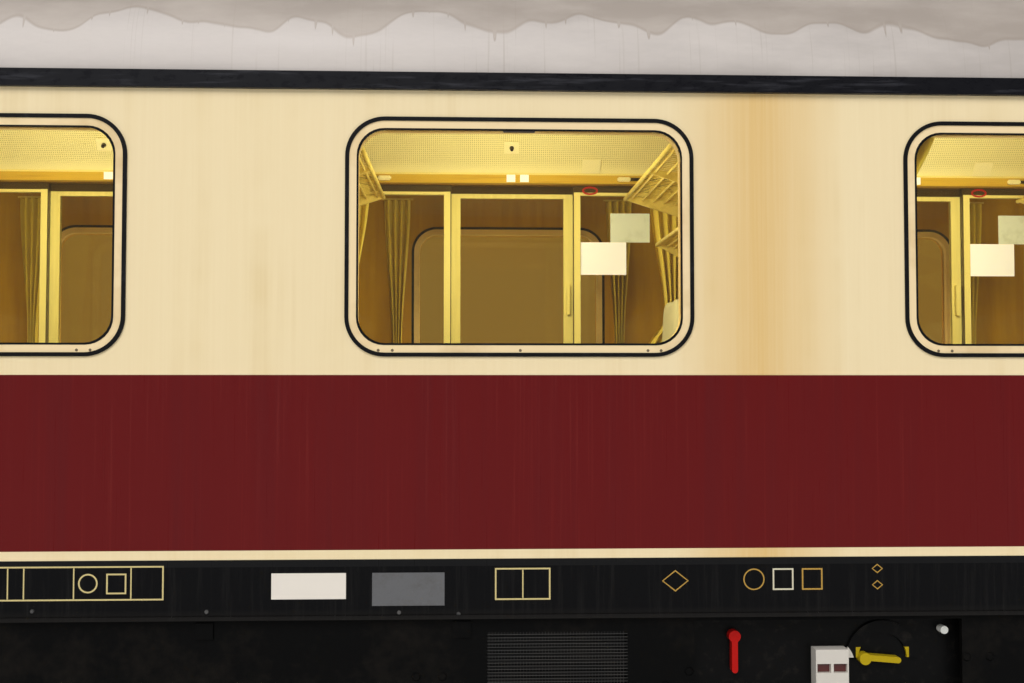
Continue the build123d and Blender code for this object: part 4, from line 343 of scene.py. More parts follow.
roof_paint = Finish("roof_paint", SILVER, 0.5, Metallic=0.1)
scallops = roof_paint.grain((0.42, 90, 0.9), detail=1.5)
drips = roof_paint.ramp(roof_paint.grain((0.03, 90, 90), detail=1, shift=(5, 0, 0)), 0.62, 0.72)
hang = roof_paint.math("MULTIPLY", roof_paint.math("SUBTRACT", scallops, 0.5), 0.5)
drip_hang = roof_paint.math("ADD", hang, roof_paint.math("MULTIPLY", drips, 0.05))
stain_depth = roof_paint.math("ADD", roof_paint.z, drip_hang)
stained = roof_paint.ramp(stain_depth, STAIN_HEIGHT - 0.004, STAIN_HEIGHT + 0.006)
rim = roof_paint.between(stain_depth, STAIN_HEIGHT, STAIN_HEIGHT + 0.012, 0.004)
roof_clouds = roof_paint.ramp(roof_paint.grain((0.5, 0.3, 0.16), detail=6, shift=(2, 5, 1)), 0.4, 0.65)
roof_runs = roof_paint.ramp(roof_paint.grain((0.012, 90, 0.9), detail=3, shift=(0, 3, 0)), 0.6, 0.75)
roof_tone = roof_paint.mix(roof_clouds, SILVER, SILVER_PALE)
roof_tone = roof_paint.mix(roof_paint.math("MULTIPLY", roof_runs, 0.55), roof_tone, STAIN)
stain_tone = roof_paint.mix(roof_clouds, STAIN, (0.40, 0.34, 0.29))
roof_tone = roof_paint.mix(roof_paint.math("MULTIPLY", stained, 0.75), roof_tone, stain_tone)
roof_tone = roof_paint.mix(roof_paint.math("MULTIPLY", rim, 0.3), roof_tone, STAIN_RIM)
roof_paint.color(roof_paint.mix(roof_paint.outside(), (0.75, 0.68, 0.5), roof_tone))
roof_paint.rough(roof_paint.ramp(roof_clouds, 0, 1, 0.42, 0.58))
roof_paint.bump(roof_paint.grain((1.1, 0.5, 0.5), detail=2), 0.004)
dress(roof_paint, "roof")

# %% [markdown]
# The gutters are black and glossy under a thin film of dust, and the end walls are dark grey under the
# soot of the line. Both are plain colours broken by noise that is drawn out the way the dirt lies:
# along the gutter, and down the wall.

# %% Gutters and ends
gutter_paint = Finish("gutter_paint", SOOT_BLACK, 0.25, Specular_IOR_Level=0.12)
gutter_dust = gutter_paint.grain((0.06, 0.06, 0.03), detail=5)
gutter_paint.color(gutter_paint.wear((0.005, 0.005, 0.007), (0.03, 0.03, 0.036), (0.25, 0.1, 0.02), 0.4))
gutter_paint.rough(gutter_paint.ramp(gutter_dust, 0.3, 0.7, 0.18, 0.45))
dress(gutter_paint, "rain_gutters")

end_paint = Finish("end_paint", (0.03, 0.03, 0.032), 0.45)
end_soot = end_paint.grain((0.25, 0.25, 0.8), detail=5)
end_tone = end_paint.mix(end_paint.ramp(end_soot, 0.4, 0.7), (0.03, 0.03, 0.032), (0.06, 0.055, 0.05))
end_paint.color(end_paint.mix(end_paint.outside(), LINING, end_tone))
end_paint.rough(end_paint.ramp(end_soot, 0.3, 0.7, 0.35, 0.6))
dress(end_paint, "end_walls")

# %% [markdown]
# ## Underframe, skirts and running gear
# The sole bar is gloss black and shows reflections, while what hangs below it is coated in brake dust.
# The dust lies on upper faces and in corners, so the brown is mixed in with broad noise and thins out on
# the parts that rub. Springs, wheels and brakes share the same recipe with other tones.


# %% Dark finishes
def dusty(name, color, dust, roughness, size=0.12, amount=0.5, **sockets):
    """A plain colour under patches of dust."""
    finish = Finish(name, color, roughness, **sockets)
    patches = finish.grain(size, detail=6, roughness=0.65)
    fine = finish.grain(size / 9, detail=3, shift=(4, 4, 4))
    both = finish.math("ADD", patches, finish.math("MULTIPLY", fine, 0.35))
    cover = finish.ramp(both, 0.95 - amount, 1.05)
    finish.color(finish.mix(cover, color, dust))
    finish.rough(finish.ramp(cover, 0, 1, roughness, min(1, roughness + 0.3)))
    finish.bump(fine, 0.0006)
    return finish


BRAKE_DUST = (0.075, 0.055, 0.04)
print("brake dust:", BRAKE_DUST)

# %% [markdown]
# The sole bar is the deep black beam under the side. It is wiped clean more often than the rest, so it
# carries only a thin film, and its colour turns lighter towards its foot. The skirts below it stay duller.

# %% Sole bar and skirts
solebar_paint = Finish("solebar_paint", SOOT_BLACK, 0.16, Specular_IOR_Level=0.05)
solebar_film = solebar_paint.grain((0.02, 0.3, 0.5), detail=5, roughness=0.7)
solebar_low = solebar_paint.ramp(solebar_paint.z, 1.06, 1.018)
solebar_cover = solebar_paint.ramp(solebar_film, 0.5, 0.85, 0, 0.35)
solebar_tone = solebar_paint.mix(solebar_cover, SOOT_BLACK, (0.03, 0.028, 0.026))
# the sole bar's colour turns lighter towards its foot
solebar_foot_lighter = solebar_paint.math("MULTIPLY", solebar_low, 0.5)
solebar_tone = solebar_paint.mix(solebar_foot_lighter, solebar_tone, (0.02, 0.018, 0.016))
solebar_paint.color(solebar_tone)
solebar_paint.rough(solebar_paint.ramp(solebar_film, 0.3, 0.8, 0.1, 0.34))
dress(solebar_paint, "underframe")

skirt_paint = dusty("skirt_paint", (0.003, 0.003, 0.003), (0.012, 0.010, 0.008), 0.3, 0.3, 0.3)
skirt_paint.shader.inputs["Specular IOR Level"].default_value = 0.04
dress(skirt_paint, "skirts")

# %% [markdown]
# What runs or hangs near the wheels differs in how much dust it holds and how coarse the patches are:
# broad on the frames, fine on the springs, and rusty on the brakes and the coupling. So one recipe
# serves, with its own numbers for each.

# %% Bogies, steps and buffers
dress(dusty("equipment_paint", (0.03, 0.031, 0.032), BRAKE_DUST, 0.5, 0.2, 0.45), "underfloor_equipment")
bogie_paint = dusty("bogie_paint", (0.028, 0.027, 0.026), BRAKE_DUST, 0.55, 0.15, 0.5)
spring_paint = dusty("spring_paint", (0.035, 0.032, 0.03), (0.10, 0.07, 0.045), 0.5, 0.05, 0.45)
step_steel = dusty("step_steel", (0.05, 0.05, 0.052), (0.16, 0.15, 0.14), 0.45, 0.08, 0.4, Metallic=0.5)
brake_iron = dusty("brake_iron", (0.06, 0.05, 0.045), (0.17, 0.09, 0.05), 0.6, 0.06, 0.5, Metallic=0.4)
buffer_paint = dusty("buffer_paint", (0.022, 0.022, 0.024), (0.09, 0.08, 0.07), 0.35, 0.09, 0.4)
coupling_steel = dusty("coupling_steel", (0.05, 0.045, 0.04), (0.15, 0.08, 0.045), 0.5, 0.04, Metallic=0.6)
for bogie in "ab":
    dress(bogie_paint, f"bogie_{bogie}_frame", f"bogie_{bogie}_bolster")
    dress(spring_paint, f"bogie_{bogie}_axle_boxes")
    dress(brake_iron, f"bogie_{bogie}_track_brakes")
dress(step_steel, "entrance_steps")
dress(buffer_paint, "buffers")
dress(coupling_steel, "draw_gear")

# %% [markdown]
# The wheels turn, so their finish is worked out from the distance to the axle: the tread and the flange
# are bright where the rail polishes them, the web is brown with dust, and the brake discs are scored in
# fine rings. The axle's height and the places of the four axles are read from the solids.

# %% Wheels
TREAD_RADII = (0.462, 0.51)
DISC_RADII = (0.19, 0.316)
DISC_SPAN = (0.28, 0.41)
RING_PHASE = 2400

for bogie in "ab":
    for number in (1, 2):
        node = f"bogie_{bogie}_wheelset_{number}"
        low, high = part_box(node)
        centre = (low + high) / 2
        steel = Finish(f"wheel_steel_{bogie}{number}", (0.1, 0.09, 0.08), 0.5, Metallic=0.7)
        across = steel.math("SUBTRACT", steel.x, centre.x)
        rise = steel.math("SUBTRACT", steel.z, centre.z)
        squares = steel.math("ADD", steel.math("POWER", across, 2), steel.math("POWER", rise, 2))
        radius = steel.math("SQRT", squares)
        tread = steel.between(radius, *TREAD_RADII, 0.003)
        disc_place = steel.between(steel.math("ABSOLUTE", steel.y), *DISC_SPAN)
        disc = steel.math("MULTIPLY", steel.between(radius, *DISC_RADII, 0.004), disc_place)
        dust = steel.wear((0.055, 0.042, 0.032), (0.12, 0.085, 0.055), 0.05, 0.5)
        bright = steel.math("MAXIMUM", tread, disc)
        steel.color(steel.mix(bright, dust, (0.5, 0.49, 0.47)))
        steel.rough(steel.ramp(bright, 0, 1, 0.65, 0.28))
        steel.join(steel.ramp(bright, 0, 1, 0.15, 0.95), steel.shader.inputs["Metallic"])
        rings = steel.math("SINE", steel.math("MULTIPLY", radius, RING_PHASE))
        steel.bump(steel.math("MULTIPLY", rings, bright), 0.0002)
        dress(steel, node)
print("wheels: axle height", round(centre.z, 3), "m")

# %% [markdown]
# ## Windows
# Each window is a pane with a gold film against the sun, in a cream-coloured metal frame and a black
# rubber gasket. On the corridor side the tint is a darker amber, painted shade that stands for the dark
# surroundings seen through the far panes; the real panes are alike on both sides. Glass that lets lamp
# light through keeps the compartments lit, so the shader is swapped for a clear one on shadow rays.

# %% Windows
GOLD_FILM = (0.985, 0.93, 0.64)
AMBER_PAINTED_SHADE = (0.70, 0.43, 0.09)


def glass(name, tint, index=1.32):
    """Clear tinted glass that lets lamp light through."""
    finish = Finish(name, tint, 0.01, IOR=index, Transmission_Weight=1.0)
    clear = finish.add("ShaderNodeBsdfTransparent")
    clear.inputs["Color"].default_value = (*[0.5 + 0.5 * c for c in tint], 1)
    path = finish.add("ShaderNodeLightPath")
    either = finish.add("ShaderNodeMixShader")
    finish.join(path.outputs["Is Shadow Ray"], either.inputs[0])
    finish.join(finish.shader.outputs[0], either.inputs[1])
    finish.join(clear.outputs[0], either.inputs[2])
    finish.join(either.outputs[0], finish.tree.nodes["Material Output"].inputs["Surface"])
    return finish


pane_glass = glass("window_glass", GOLD_FILM)
# the corridor side (y > 0) takes the darker amber: painted shade for the dark view beyond
pane_glass.color(pane_glass.mix(pane_glass.ramp(pane_glass.y, -0.1, 0.1), GOLD_FILM, AMBER_PAINTED_SHADE))
dress(pane_glass, "window_panes")
dress(glass("screen_glass", (0.82, 0.78, 0.62), 1.25), "corridor_wall_glass")

# %% [markdown]
# A rubber gasket and a metal frame hold each pane, and the folds of the gangway shut out the weather
# between two coaches. Rubber goes grey in patches where it is rubbed and dried by the sun. The frame
# has turned cream and dull, so it gets little gloss.

# %% Rubber and frames
gasket_rubber = Finish("gasket_rubber", SOOT_BLACK, 0.5, Specular_IOR_Level=0.1)
gasket_rubber.color(gasket_rubber.wear(SOOT_BLACK, (0.018, 0.018, 0.022), 0.05, 0.35))
dress(gasket_rubber, "window_gaskets")

frame_metal = Finish("frame_metal", (0.80, 0.62, 0.36), 0.5, Specular_IOR_Level=0.2)
frame_metal.color(frame_metal.wear((0.82, 0.64, 0.37), (0.66, 0.48, 0.24), (0.3, 0.3, 0.3), 0.5))
frame_metal.rough(frame_metal.ramp(frame_metal.grain((0.1, 0.1, 0.1)), 0.3, 0.7, 0.4, 0.6))
dress(frame_metal, "window_frames")

bellows_rubber = Finish("bellows_rubber", (0.018, 0.018, 0.019), 0.55)
bellows_rubber.color(bellows_rubber.wear((0.016, 0.016, 0.017), (0.055, 0.052, 0.05), (0.1, 0.1, 0.3), 0.5))
bellows_rubber.bump(bellows_rubber.grain(0.02), 0.001)
dress(bellows_rubber, "gangway_bellows")

# %% [markdown]
# ## Cabin
# Inside, the walls are warm brown veneer with a fine upright grain, the ceilings cream panels with a
# grid of small holes, and the doors and beams brass-coloured metal. The holes are only a few millimetres
# wide and there are tens of thousands of them, so a pattern in the finish draws them, not geometry.


# %% Cabin woods
def veneer(name, light, dark, grain_size=(0.012, 0.012, 0.5)):
    """Wood with its grain running upright."""
    wood = Finish(name, light, 0.38, Coat_Weight=0.15)
    bands = wood.grain(grain_size, detail=5, roughness=0.6)
    pores = wood.grain([s / 5 for s in grain_size], detail=2, shift=(1, 2, 3))
    tone = wood.mix(wood.ramp(bands, 0.35, 0.65), light, dark)
    wood.color(wood.mix(wood.ramp(pores, 0.6, 0.8, 0, 0.3), tone, [0.5 * c for c in dark]))
    wood.bump(pores, 0.0002)
    return wood


dress(veneer("partition_veneer", (0.32, 0.17, 0.014), (0.23, 0.11, 0.008)), "partitions")
dress(veneer("table_laminate", (0.36, 0.2, 0.08), (0.27, 0.14, 0.05), (0.5, 0.02, 0.02)), "window_tables")

# %% [markdown]
# The floor is covered with a short brown pile. Noise of a few millimetres gives both its specks and its
# rough surface, which is enough for a floor that is seen only from afar.

# %% Floor
floor_lining = Finish("floor_lining", (0.1, 0.06, 0.04), 0.9)
weave = floor_lining.grain(0.004, detail=2)
floor_lining.color(floor_lining.mix(weave, (0.11, 0.065, 0.04), (0.06, 0.035, 0.02)))
floor_lining.bump(weave, 0.001)
dress(floor_lining, "floor_deck")

# %% [markdown]
# The corridor wall is one solid with brass-coloured posts beside its doorways and a bright rim over the
# glazing, so its finish takes the metal there and the veneer elsewhere. The doorway reveals, with a thin
# line at their edge, and the band between the rim and the beam are painted dark brown as shade. The
# pattern repeats with every compartment: the distance to the doorway's middle is found with a ping-pong
# of the X coordinate.

# %% Corridor wall
PITCH = 2.267
DOORWAY_HALF = 0.3485
DOORWAY_SHIFT = 0.045
POST_WIDTH = 0.042
GLASS_TOP = 3.030
BRASS = (0.90, 0.80, 0.30)
# dark brown painted as shade: in the doorway reveals, under the beam and on the door heads
PAINTED_SHADE_BROWN = (0.06, 0.035, 0.006)


def from_doorway(finish):
    """The distance along the coach to the nearest compartment doorway's middle, in metres."""
    shifted = finish.math("ADD", finish.x, 4 * PITCH - DOORWAY_SHIFT)
    return finish.math("PINGPONG", shifted, PITCH / 2)


corridor_wood = veneer("panel_veneer", (0.24, 0.12, 0.009), (0.17, 0.08, 0.005))
wood_tone = corridor_wood.shader.inputs["Base Color"].links[0].from_socket
to_doorway = from_doorway(corridor_wood)
post_faces = corridor_wood.between(to_doorway, DOORWAY_HALF - 0.03, DOORWAY_HALF + POST_WIDTH)
head_rim = corridor_wood.between(corridor_wood.z, GLASS_TOP - 0.002, GLASS_TOP + 0.016)
posts = corridor_wood.math("MAXIMUM", post_faces, head_rim)
# painted shade: the doorway reveals and a thin line at their edge, and above the rim the band under the
# beam
reveal_shade = corridor_wood.between(to_doorway, DOORWAY_HALF - 0.03, DOORWAY_HALF + 0.005)
under_beam_shade = corridor_wood.ramp(corridor_wood.z, GLASS_TOP + 0.016, GLASS_TOP + 0.018)
wall_tone = corridor_wood.mix(posts, wood_tone, BRASS)
shaded = corridor_wood.math("MAXIMUM", reveal_shade, under_beam_shade)
corridor_wood.color(corridor_wood.mix(shaded, wall_tone, PAINTED_SHADE_BROWN))
corridor_wood.rough(corridor_wood.ramp(posts, 0, 1, 0.38, 0.3))
dress(corridor_wood, "corridor_wall_panels")

# %% [markdown]
# ## Ceiling panels
# The panels have round holes at a pitch of about twelve millimetres. A point on the panel is folded into
# one cell of that pitch on each axis, and whatever lies near the cell's middle is a hole. On the cove the
# rows follow the slope, so there the second axis is the distance down it.

# %% Ceiling
HOLE_PITCH = 0.0115
HOLE_RADIUS = 0.0026
COVE_SLOPE = (0.576, -0.817)
BEAM_BOTTOM = 3.084
BEAM_TOP = 3.150

ceiling_panel = Finish("ceiling_panel", (0.82, 0.77, 0.6), 0.6)
along_y = ceiling_panel.math("MULTIPLY", ceiling_panel.y, COVE_SLOPE[0])
along_z = ceiling_panel.math("MULTIPLY", ceiling_panel.z, COVE_SLOPE[1])
half_cells = []
for axis in (ceiling_panel.x, ceiling_panel.math("ADD", along_y, along_z)):
    folded = ceiling_panel.math("PINGPONG", axis, HOLE_PITCH / 2)
    half_cells.append(ceiling_panel.math("POWER", folded, 2))
to_hole = ceiling_panel.math("SQRT", ceiling_panel.math("ADD", *half_cells))
holes = ceiling_panel.ramp(to_hole, HOLE_RADIUS + 0.0008, HOLE_RADIUS - 0.0008)
in_compartment = ceiling_panel.ramp(ceiling_panel.y, 0.53, 0.50)
holes = ceiling_panel.math("MULTIPLY", holes, in_compartment)
panel_tone = ceiling_panel.mix(holes, (0.94, 0.87, 0.47), (0.5, 0.42, 0.12))
beam = ceiling_panel.between(ceiling_panel.z, BEAM_BOTTOM - 0.02, BEAM_TOP + 0.004)
beam_tone = ceiling_panel.wear((0.66, 0.43, 0.045), (0.56, 0.34, 0.03), (0.4, 0.02, 0.02), 0.5)
top_edge = ceiling_panel.ramp(ceiling_panel.z, BEAM_TOP - 0.009, BEAM_TOP - 0.007)
foot_edge = ceiling_panel.ramp(ceiling_panel.z, BEAM_BOTTOM + 0.011, BEAM_BOTTOM + 0.009)
beam_tone = ceiling_panel.mix(top_edge, beam_tone, (0.92, 0.80, 0.32))
beam_tone = ceiling_panel.mix(foot_edge, beam_tone, (0.24, 0.13, 0.012))
ceiling_panel.color(ceiling_panel.mix(beam, panel_tone, beam_tone))
ceiling_panel.bump(ceiling_panel.math("SUBTRACT", 1.0, holes), 0.002)
dress(ceiling_panel, "ceilings")
print("ceiling: holes every", HOLE_PITCH * 1000, "mm")

# %% [markdown]
# ## Doors
# A door and its pane are one solid, because they move together. The pane is thin and lies at the middle
# of the leaf, so the finish turns to glass wherever the surface is that deep inside the leaf. The
# compartment doors slide along the corridor wall, in frames of brass-coloured metal with a fine upright
# grain. Their head, above the rim, is painted dark brown as shade under the beam.

# %% Compartment doors
SLIDER_MIDDLE = 0.617
SLIDER_RIM = 3.040


def glazed(finish, pane, opaque, tint, roughness):
    """Turns finish to glass where pane is 1, and gives it colour opaque elsewhere."""
    finish.color(finish.mix(pane, opaque, tint))
    finish.join(pane, finish.shader.inputs["Transmission Weight"])
    finish.rough(finish.ramp(pane, 0, 1, roughness, 0.01))
    finish.shader.inputs["IOR"].default_value = 1.3


slider_finish = Finish("compartment_door_metal", BRASS, 0.3, Metallic=0.0)
slider_pane = slider_finish.between(slider_finish.y, SLIDER_MIDDLE - 0.005, SLIDER_MIDDLE + 0.005)
slider_grain = slider_finish.ramp(slider_finish.grain((0.02, 0.02, 0.4)), 0.3, 0.7)
slider_metal = slider_finish.mix(slider_grain, BRASS, (0.80, 0.69, 0.22))
# painted shade: the door's head above the rim is darkened as under the beam
slider_head_shade = slider_finish.ramp(slider_finish.z, SLIDER_RIM, SLIDER_RIM + 0.002)
slider_metal = slider_finish.mix(slider_head_shade, slider_metal, PAINTED_SHADE_BROWN)
glazed(slider_finish, slider_pane, slider_metal, (0.85, 0.78, 0.56), 0.3)
dress(slider_finish, *[f"compartment_door_{n}" for n in range(1, 10)])

# %% [markdown]
# The two gangway doors lie the same way at both ends, so the depth into the leaf is the distance from
# the middle of the coach, whichever end it is.

# %% Gangway doors
GANGWAY_MIDDLE = 12.474

gangway_finish = Finish("gangway_door_paint", (0.35, 0.3, 0.2), 0.4)
gangway_depth = gangway_finish.math("ABSOLUTE", gangway_finish.x)
gangway_pane = gangway_finish.between(gangway_depth, GANGWAY_MIDDLE - 0.006, GANGWAY_MIDDLE + 0.006)
gangway_tone = gangway_finish.wear((0.42, 0.36, 0.24), (0.3, 0.25, 0.17), (0.2, 0.2, 0.5), 0.4)
glazed(gangway_finish, gangway_pane, gangway_tone, (0.8, 0.8, 0.75), 0.4)
dress(gangway_finish, "gangway_door_end_a", "gangway_door_end_b")

# %% [markdown]
# The entrance doors stand in the tapered ends of the sides, where the wall leans in. The depth into the
# leaf is therefore measured from the tapered plane: the distance from the centre line plus the taper's
# slope times the distance along it.

# %% Entrance doors
TAPER_START = 11.29
TAPER_SLOPE = 0.1075 / 1.29
WALL_FACE = 1.4125
PANE_DEPTH = (0.0172, 0.0278)
PANE_HEIGHT = (2.178, 2.958)

door_paint = livery("entrance_door_paint")
past = door_paint.math("SUBTRACT", door_paint.math("ABSOLUTE", door_paint.x), TAPER_START)
lean_in = door_paint.math("MULTIPLY", past, TAPER_SLOPE)
from_axis = door_paint.math("ADD", door_paint.math("ABSOLUTE", door_paint.y), lean_in)
pane_deep = door_paint.between(from_axis, WALL_FACE - PANE_DEPTH[1], WALL_FACE - PANE_DEPTH[0])
door_pane = door_paint.math("MULTIPLY", pane_deep, door_paint.between(door_paint.z, *PANE_HEIGHT))
door_tone = door_paint.shader.inputs["Base Color"].links[0].from_socket
glazed(door_paint, door_pane, door_tone, GOLD_FILM, 0.32)
dress(door_paint, *[name for name in nodes if name.startswith("entrance_door_")])

# %% [markdown]
# ## Rails, racks and lamps
# Grab rails are bare steel, polished by hands and darker in between. The luggage racks are brass-coloured
# like the doors, and the tail lamps are red glass under a clear coat.

# %% Small metal
rail_steel = Finish("rail_steel", (0.42, 0.41, 0.39), 0.3, Metallic=0.9)
rail_steel.color(rail_steel.wear((0.46, 0.45, 0.43), (0.3, 0.28, 0.25), 0.06, 0.5))
dress(rail_steel, "handrails")
rack_metal = Finish("rack_metal", (0.80, 0.64, 0.16), 0.4, Metallic=0.2)
rack_metal.color(rack_metal.wear((0.82, 0.67, 0.18), (0.62, 0.46, 0.08), 0.08, 0.5))
dress(rack_metal, "luggage_racks")
lamp_glass = Finish("lamp_lens", (0.35, 0.01, 0.01), 0.15, Coat_Weight=0.6)
dress(lamp_glass, "tail_lamps")

# %% [markdown]
# ## Brake controls
# In the bay below the sole bar are a red lever, a yellow one over a round quadrant, a white indicator
# box and a small lamp, all on a black back plate. They are one solid, so the colours are placed by
# distance from each lever's pivot.

# %% Brake controls
CONTROLS_FACE = -1.3005
INDICATOR_X = 1.265
INDICATOR_HEIGHT = 0.798


def near(finish, x, z, radius):
    """1 within radius of a place on the side of the coach."""
    dx = finish.math("POWER", finish.math("SUBTRACT", finish.x, x), 2)
    dz = finish.math("POWER", finish.math("SUBTRACT", finish.z, z), 2)
    return finish.ramp(finish.math("SQRT", finish.math("ADD", dx, dz)), radius + 0.001, radius - 0.001)


controls = Finish("control_enamel", SOOT_BLACK, 0.35, Specular_IOR_Level=0.08)
proud = controls.ramp(controls.y, CONTROLS_FACE - 0.002, CONTROLS_FACE - 0.003)
tone = controls.wear((0.003, 0.003, 0.003), (0.014, 0.012, 0.01), 0.05, 0.4)
for x, z, radius, enamel in (
    (0.874, 0.86, 0.15, (0.42, 0.008, 0.006)),
    (INDICATOR_X, INDICATOR_HEIGHT, 0.11, (0.6, 0.56, 0.5)),
    (1.737, 0.943, 0.03, (0.75, 0.75, 0.7)),
):
    tone = controls.mix(controls.math("MULTIPLY", near(controls, x, z, radius), proud), tone, enamel)
lever_x = controls.between(controls.x, 1.38, 1.60)
lever_z = controls.between(controls.z, 0.79, 0.87)
yellow = controls.math("MULTIPLY", controls.math("MULTIPLY", lever_x, lever_z), proud)
tone = controls.mix(yellow, tone, (0.42, 0.3, 0.008))
controls.color(tone)
dress(controls, "brake_controls")

# %% [markdown]
# ## Copies from a node tree
# A coach repeats nearly everything: 54 seats, hundreds of screws, dozens of hinges. One small node tree
# does it: it sets an instance of a template on every point of a mesh, turned by the number that the
# point carries, makes real geometry of them and gives it the finish. The result is kept as a plain mesh.


# %% The copying tree
def copying_tree():
    """Sets a template on every vertex, turned round Z by its attribute turn."""
    tree = bpy.data.node_groups.new("copies_on_places", "GeometryNodeTree")
    sockets = {"Places": "Geometry", "Template": "Object", "Finish": "Material"}
    for name, kind in sockets.items():
        tree.interface.new_socket(name, in_out="INPUT", socket_type=f"NodeSocket{kind}")
    tree.interface.new_socket("Copies", in_out="OUTPUT", socket_type="NodeSocketGeometry")
    inputs = tree.nodes.new("NodeGroupInput").outputs
    template = tree.nodes.new("GeometryNodeObjectInfo")
    turn = tree.nodes.new("GeometryNodeInputNamedAttribute")
    turn.inputs["Name"].default_value = "turn"
    upright = tree.nodes.new("ShaderNodeCombineXYZ")
    instances = tree.nodes.new("GeometryNodeInstanceOnPoints")
    real = tree.nodes.new("GeometryNodeRealizeInstances")
    painted = tree.nodes.new("GeometryNodeSetMaterial")
    output = tree.nodes.new("NodeGroupOutput")
    for source, target in (
        (inputs["Places"], instances.inputs["Points"]),
        (inputs["Template"], template.inputs["Object"]),
        (template.outputs["Geometry"], instances.inputs["Instance"]),
        (turn.outputs["Attribute"], upright.inputs["Z"]),
        (upright.outputs["Vector"], instances.inputs["Rotation"]),
        (instances.outputs["Instances"], real.inputs["Geometry"]),
        (real.outputs["Geometry"], painted.inputs["Geometry"]),
        (inputs["Finish"], painted.inputs["Material"]),
        (painted.outputs["Geometry"], output.inputs["Copies"]),
    ):
        tree.links.new(source, target)
    return tree


COPIES = copying_tree()
print("copying tree:", len(COPIES.nodes), "nodes")

# %% [markdown]
# The tree works as a modifier on a holder, whose mesh is nothing but points. Once the copies are made,
# the evaluated mesh is taken as the piece, and the holder and the template are thrown away. A piece
# rides on one body of the frame.


# %% Making and keeping pieces
def fresh_object(name, mesh):
    piece = bpy.data.objects.new(name, mesh)
    bpy.context.scene.collection.objects.link(piece)
    return piece


def keep(name, mesh):
    """Makes a mesh a finished piece on the coach's body."""
    piece = fresh_object(name, mesh)
    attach(piece, "root")
    print(name, len(mesh.polygons), "faces")
    return piece


def copies(name, template, places, finish):
    """A piece made of a template at each place, where a place is x, y, z and a turn round Z in degrees."""
    points = bpy.data.meshes.new(f"{name}_places")
    points.from_pydata([place[:3] for place in places], [], [])
    turns = points.attributes.new("turn", "FLOAT", "POINT")
    turns.data.foreach_set("value", [math.radians(place[3]) for place in places])
    holder = fresh_object(f"{name}_holder", points)
    modifier = holder.modifiers.new("copies", "NODES")
    modifier.node_group = COPIES
    values = {"Template": template, "Finish": finish.material}
    for socket in COPIES.interface.items_tree:
        if socket.name in values:
            modifier[socket.identifier] = values[socket.name]
    bpy.context.view_layer.update()
    made = bpy.data.meshes.new_from_object(holder.evaluated_get(bpy.context.evaluated_depsgraph_get()))
    bpy.data.objects.remove(holder)
    bpy.data.objects.remove(template)
    return keep(name, made)


print("sockets of the tree:", *[socket.name for socket in COPIES.interface.items_tree])

# %% [markdown]
# ## Seat pads
# Each compartment has six places, three to a bench. A place is a sprung cushion, a back with sewn
# upright channels and a headrest in a pale cover. Each pad starts as a closed block of even quads,
# because a simulation bends even quads smoothly and would fold long thin ones. The headrest's outline
# gets round corners before it swells.

# %% Seat pad blocks
CUSHION = (0.44, 0.518, 0.135)
BACK = (0.115, 0.518, 0.70)
HEADREST = (0.085, 0.44, 0.28)
HEADREST_CORNER = 0.08


def pad_block(size, cells):
    """A closed block of even quads round the origin, with that many cells along each side."""
    shape = bmesh.new()
    for axis in range(3):
        u, v = (axis + 1) % 3, (axis + 2) % 3
        for end in (-0.5, 0.5):
            grid = {}
            for i in range(cells[u] + 1):
                for j in range(cells[v] + 1):
                    point = [0, 0, 0]
                    point[axis] = end * size[axis]
                    point[u] = (i / cells[u] - 0.5) * size[u]
                    point[v] = (j / cells[v] - 0.5) * size[v]
                    grid[i, j] = shape.verts.new(point)
            for i in range(cells[u]):
                for j in range(cells[v]):
                    corners = [grid[i, j], grid[i + 1, j], grid[i + 1, j + 1], grid[i, j + 1]]
                    shape.faces.new(corners if end > 0 else corners[::-1])
    bmesh.ops.remove_doubles(shape, verts=shape.verts, dist=1e-5)
    return shape


def round_outline(shape, size, radius):
    """Rounds the corners of a pad's Y and Z outline."""
    for vertex in shape.verts:
        beyond = [abs(vertex.co[a]) - (size[a] / 2 - radius) for a in (1, 2)]
        if min(beyond) > 0 and math.hypot(*beyond) > radius:
            shrink = radius / math.hypot(*beyond)
            for axis, over in zip((1, 2), beyond):
                edge = size[axis] / 2 - radius + over * shrink
                vertex.co[axis] = math.copysign(edge, vertex.co[axis])


cushion_block = pad_block(CUSHION, (8, 10, 3))
back_block = pad_block(BACK, (3, 12, 12))
headrest_block = pad_block(HEADREST, (3, 10, 8))
round_outline(headrest_block, HEADREST, HEADREST_CORNER)
print("pad blocks:", *[len(shape.faces) for shape in (cushion_block, back_block, headrest_block)], "faces")

# %% [markdown]
# Foam under a tight cover bulges between its edges. A cloth simulation with a little air pressure gives
# that and a bevelled box doesn't. The pressure would go on swelling the pad, so no point moves further
# than a cap, and one level of subdivision smooths the cover. Each kind of pad is simulated once.

# %% Swelling the pads
PUFF_FRAMES = 14
PUFF_PRESSURE = 4


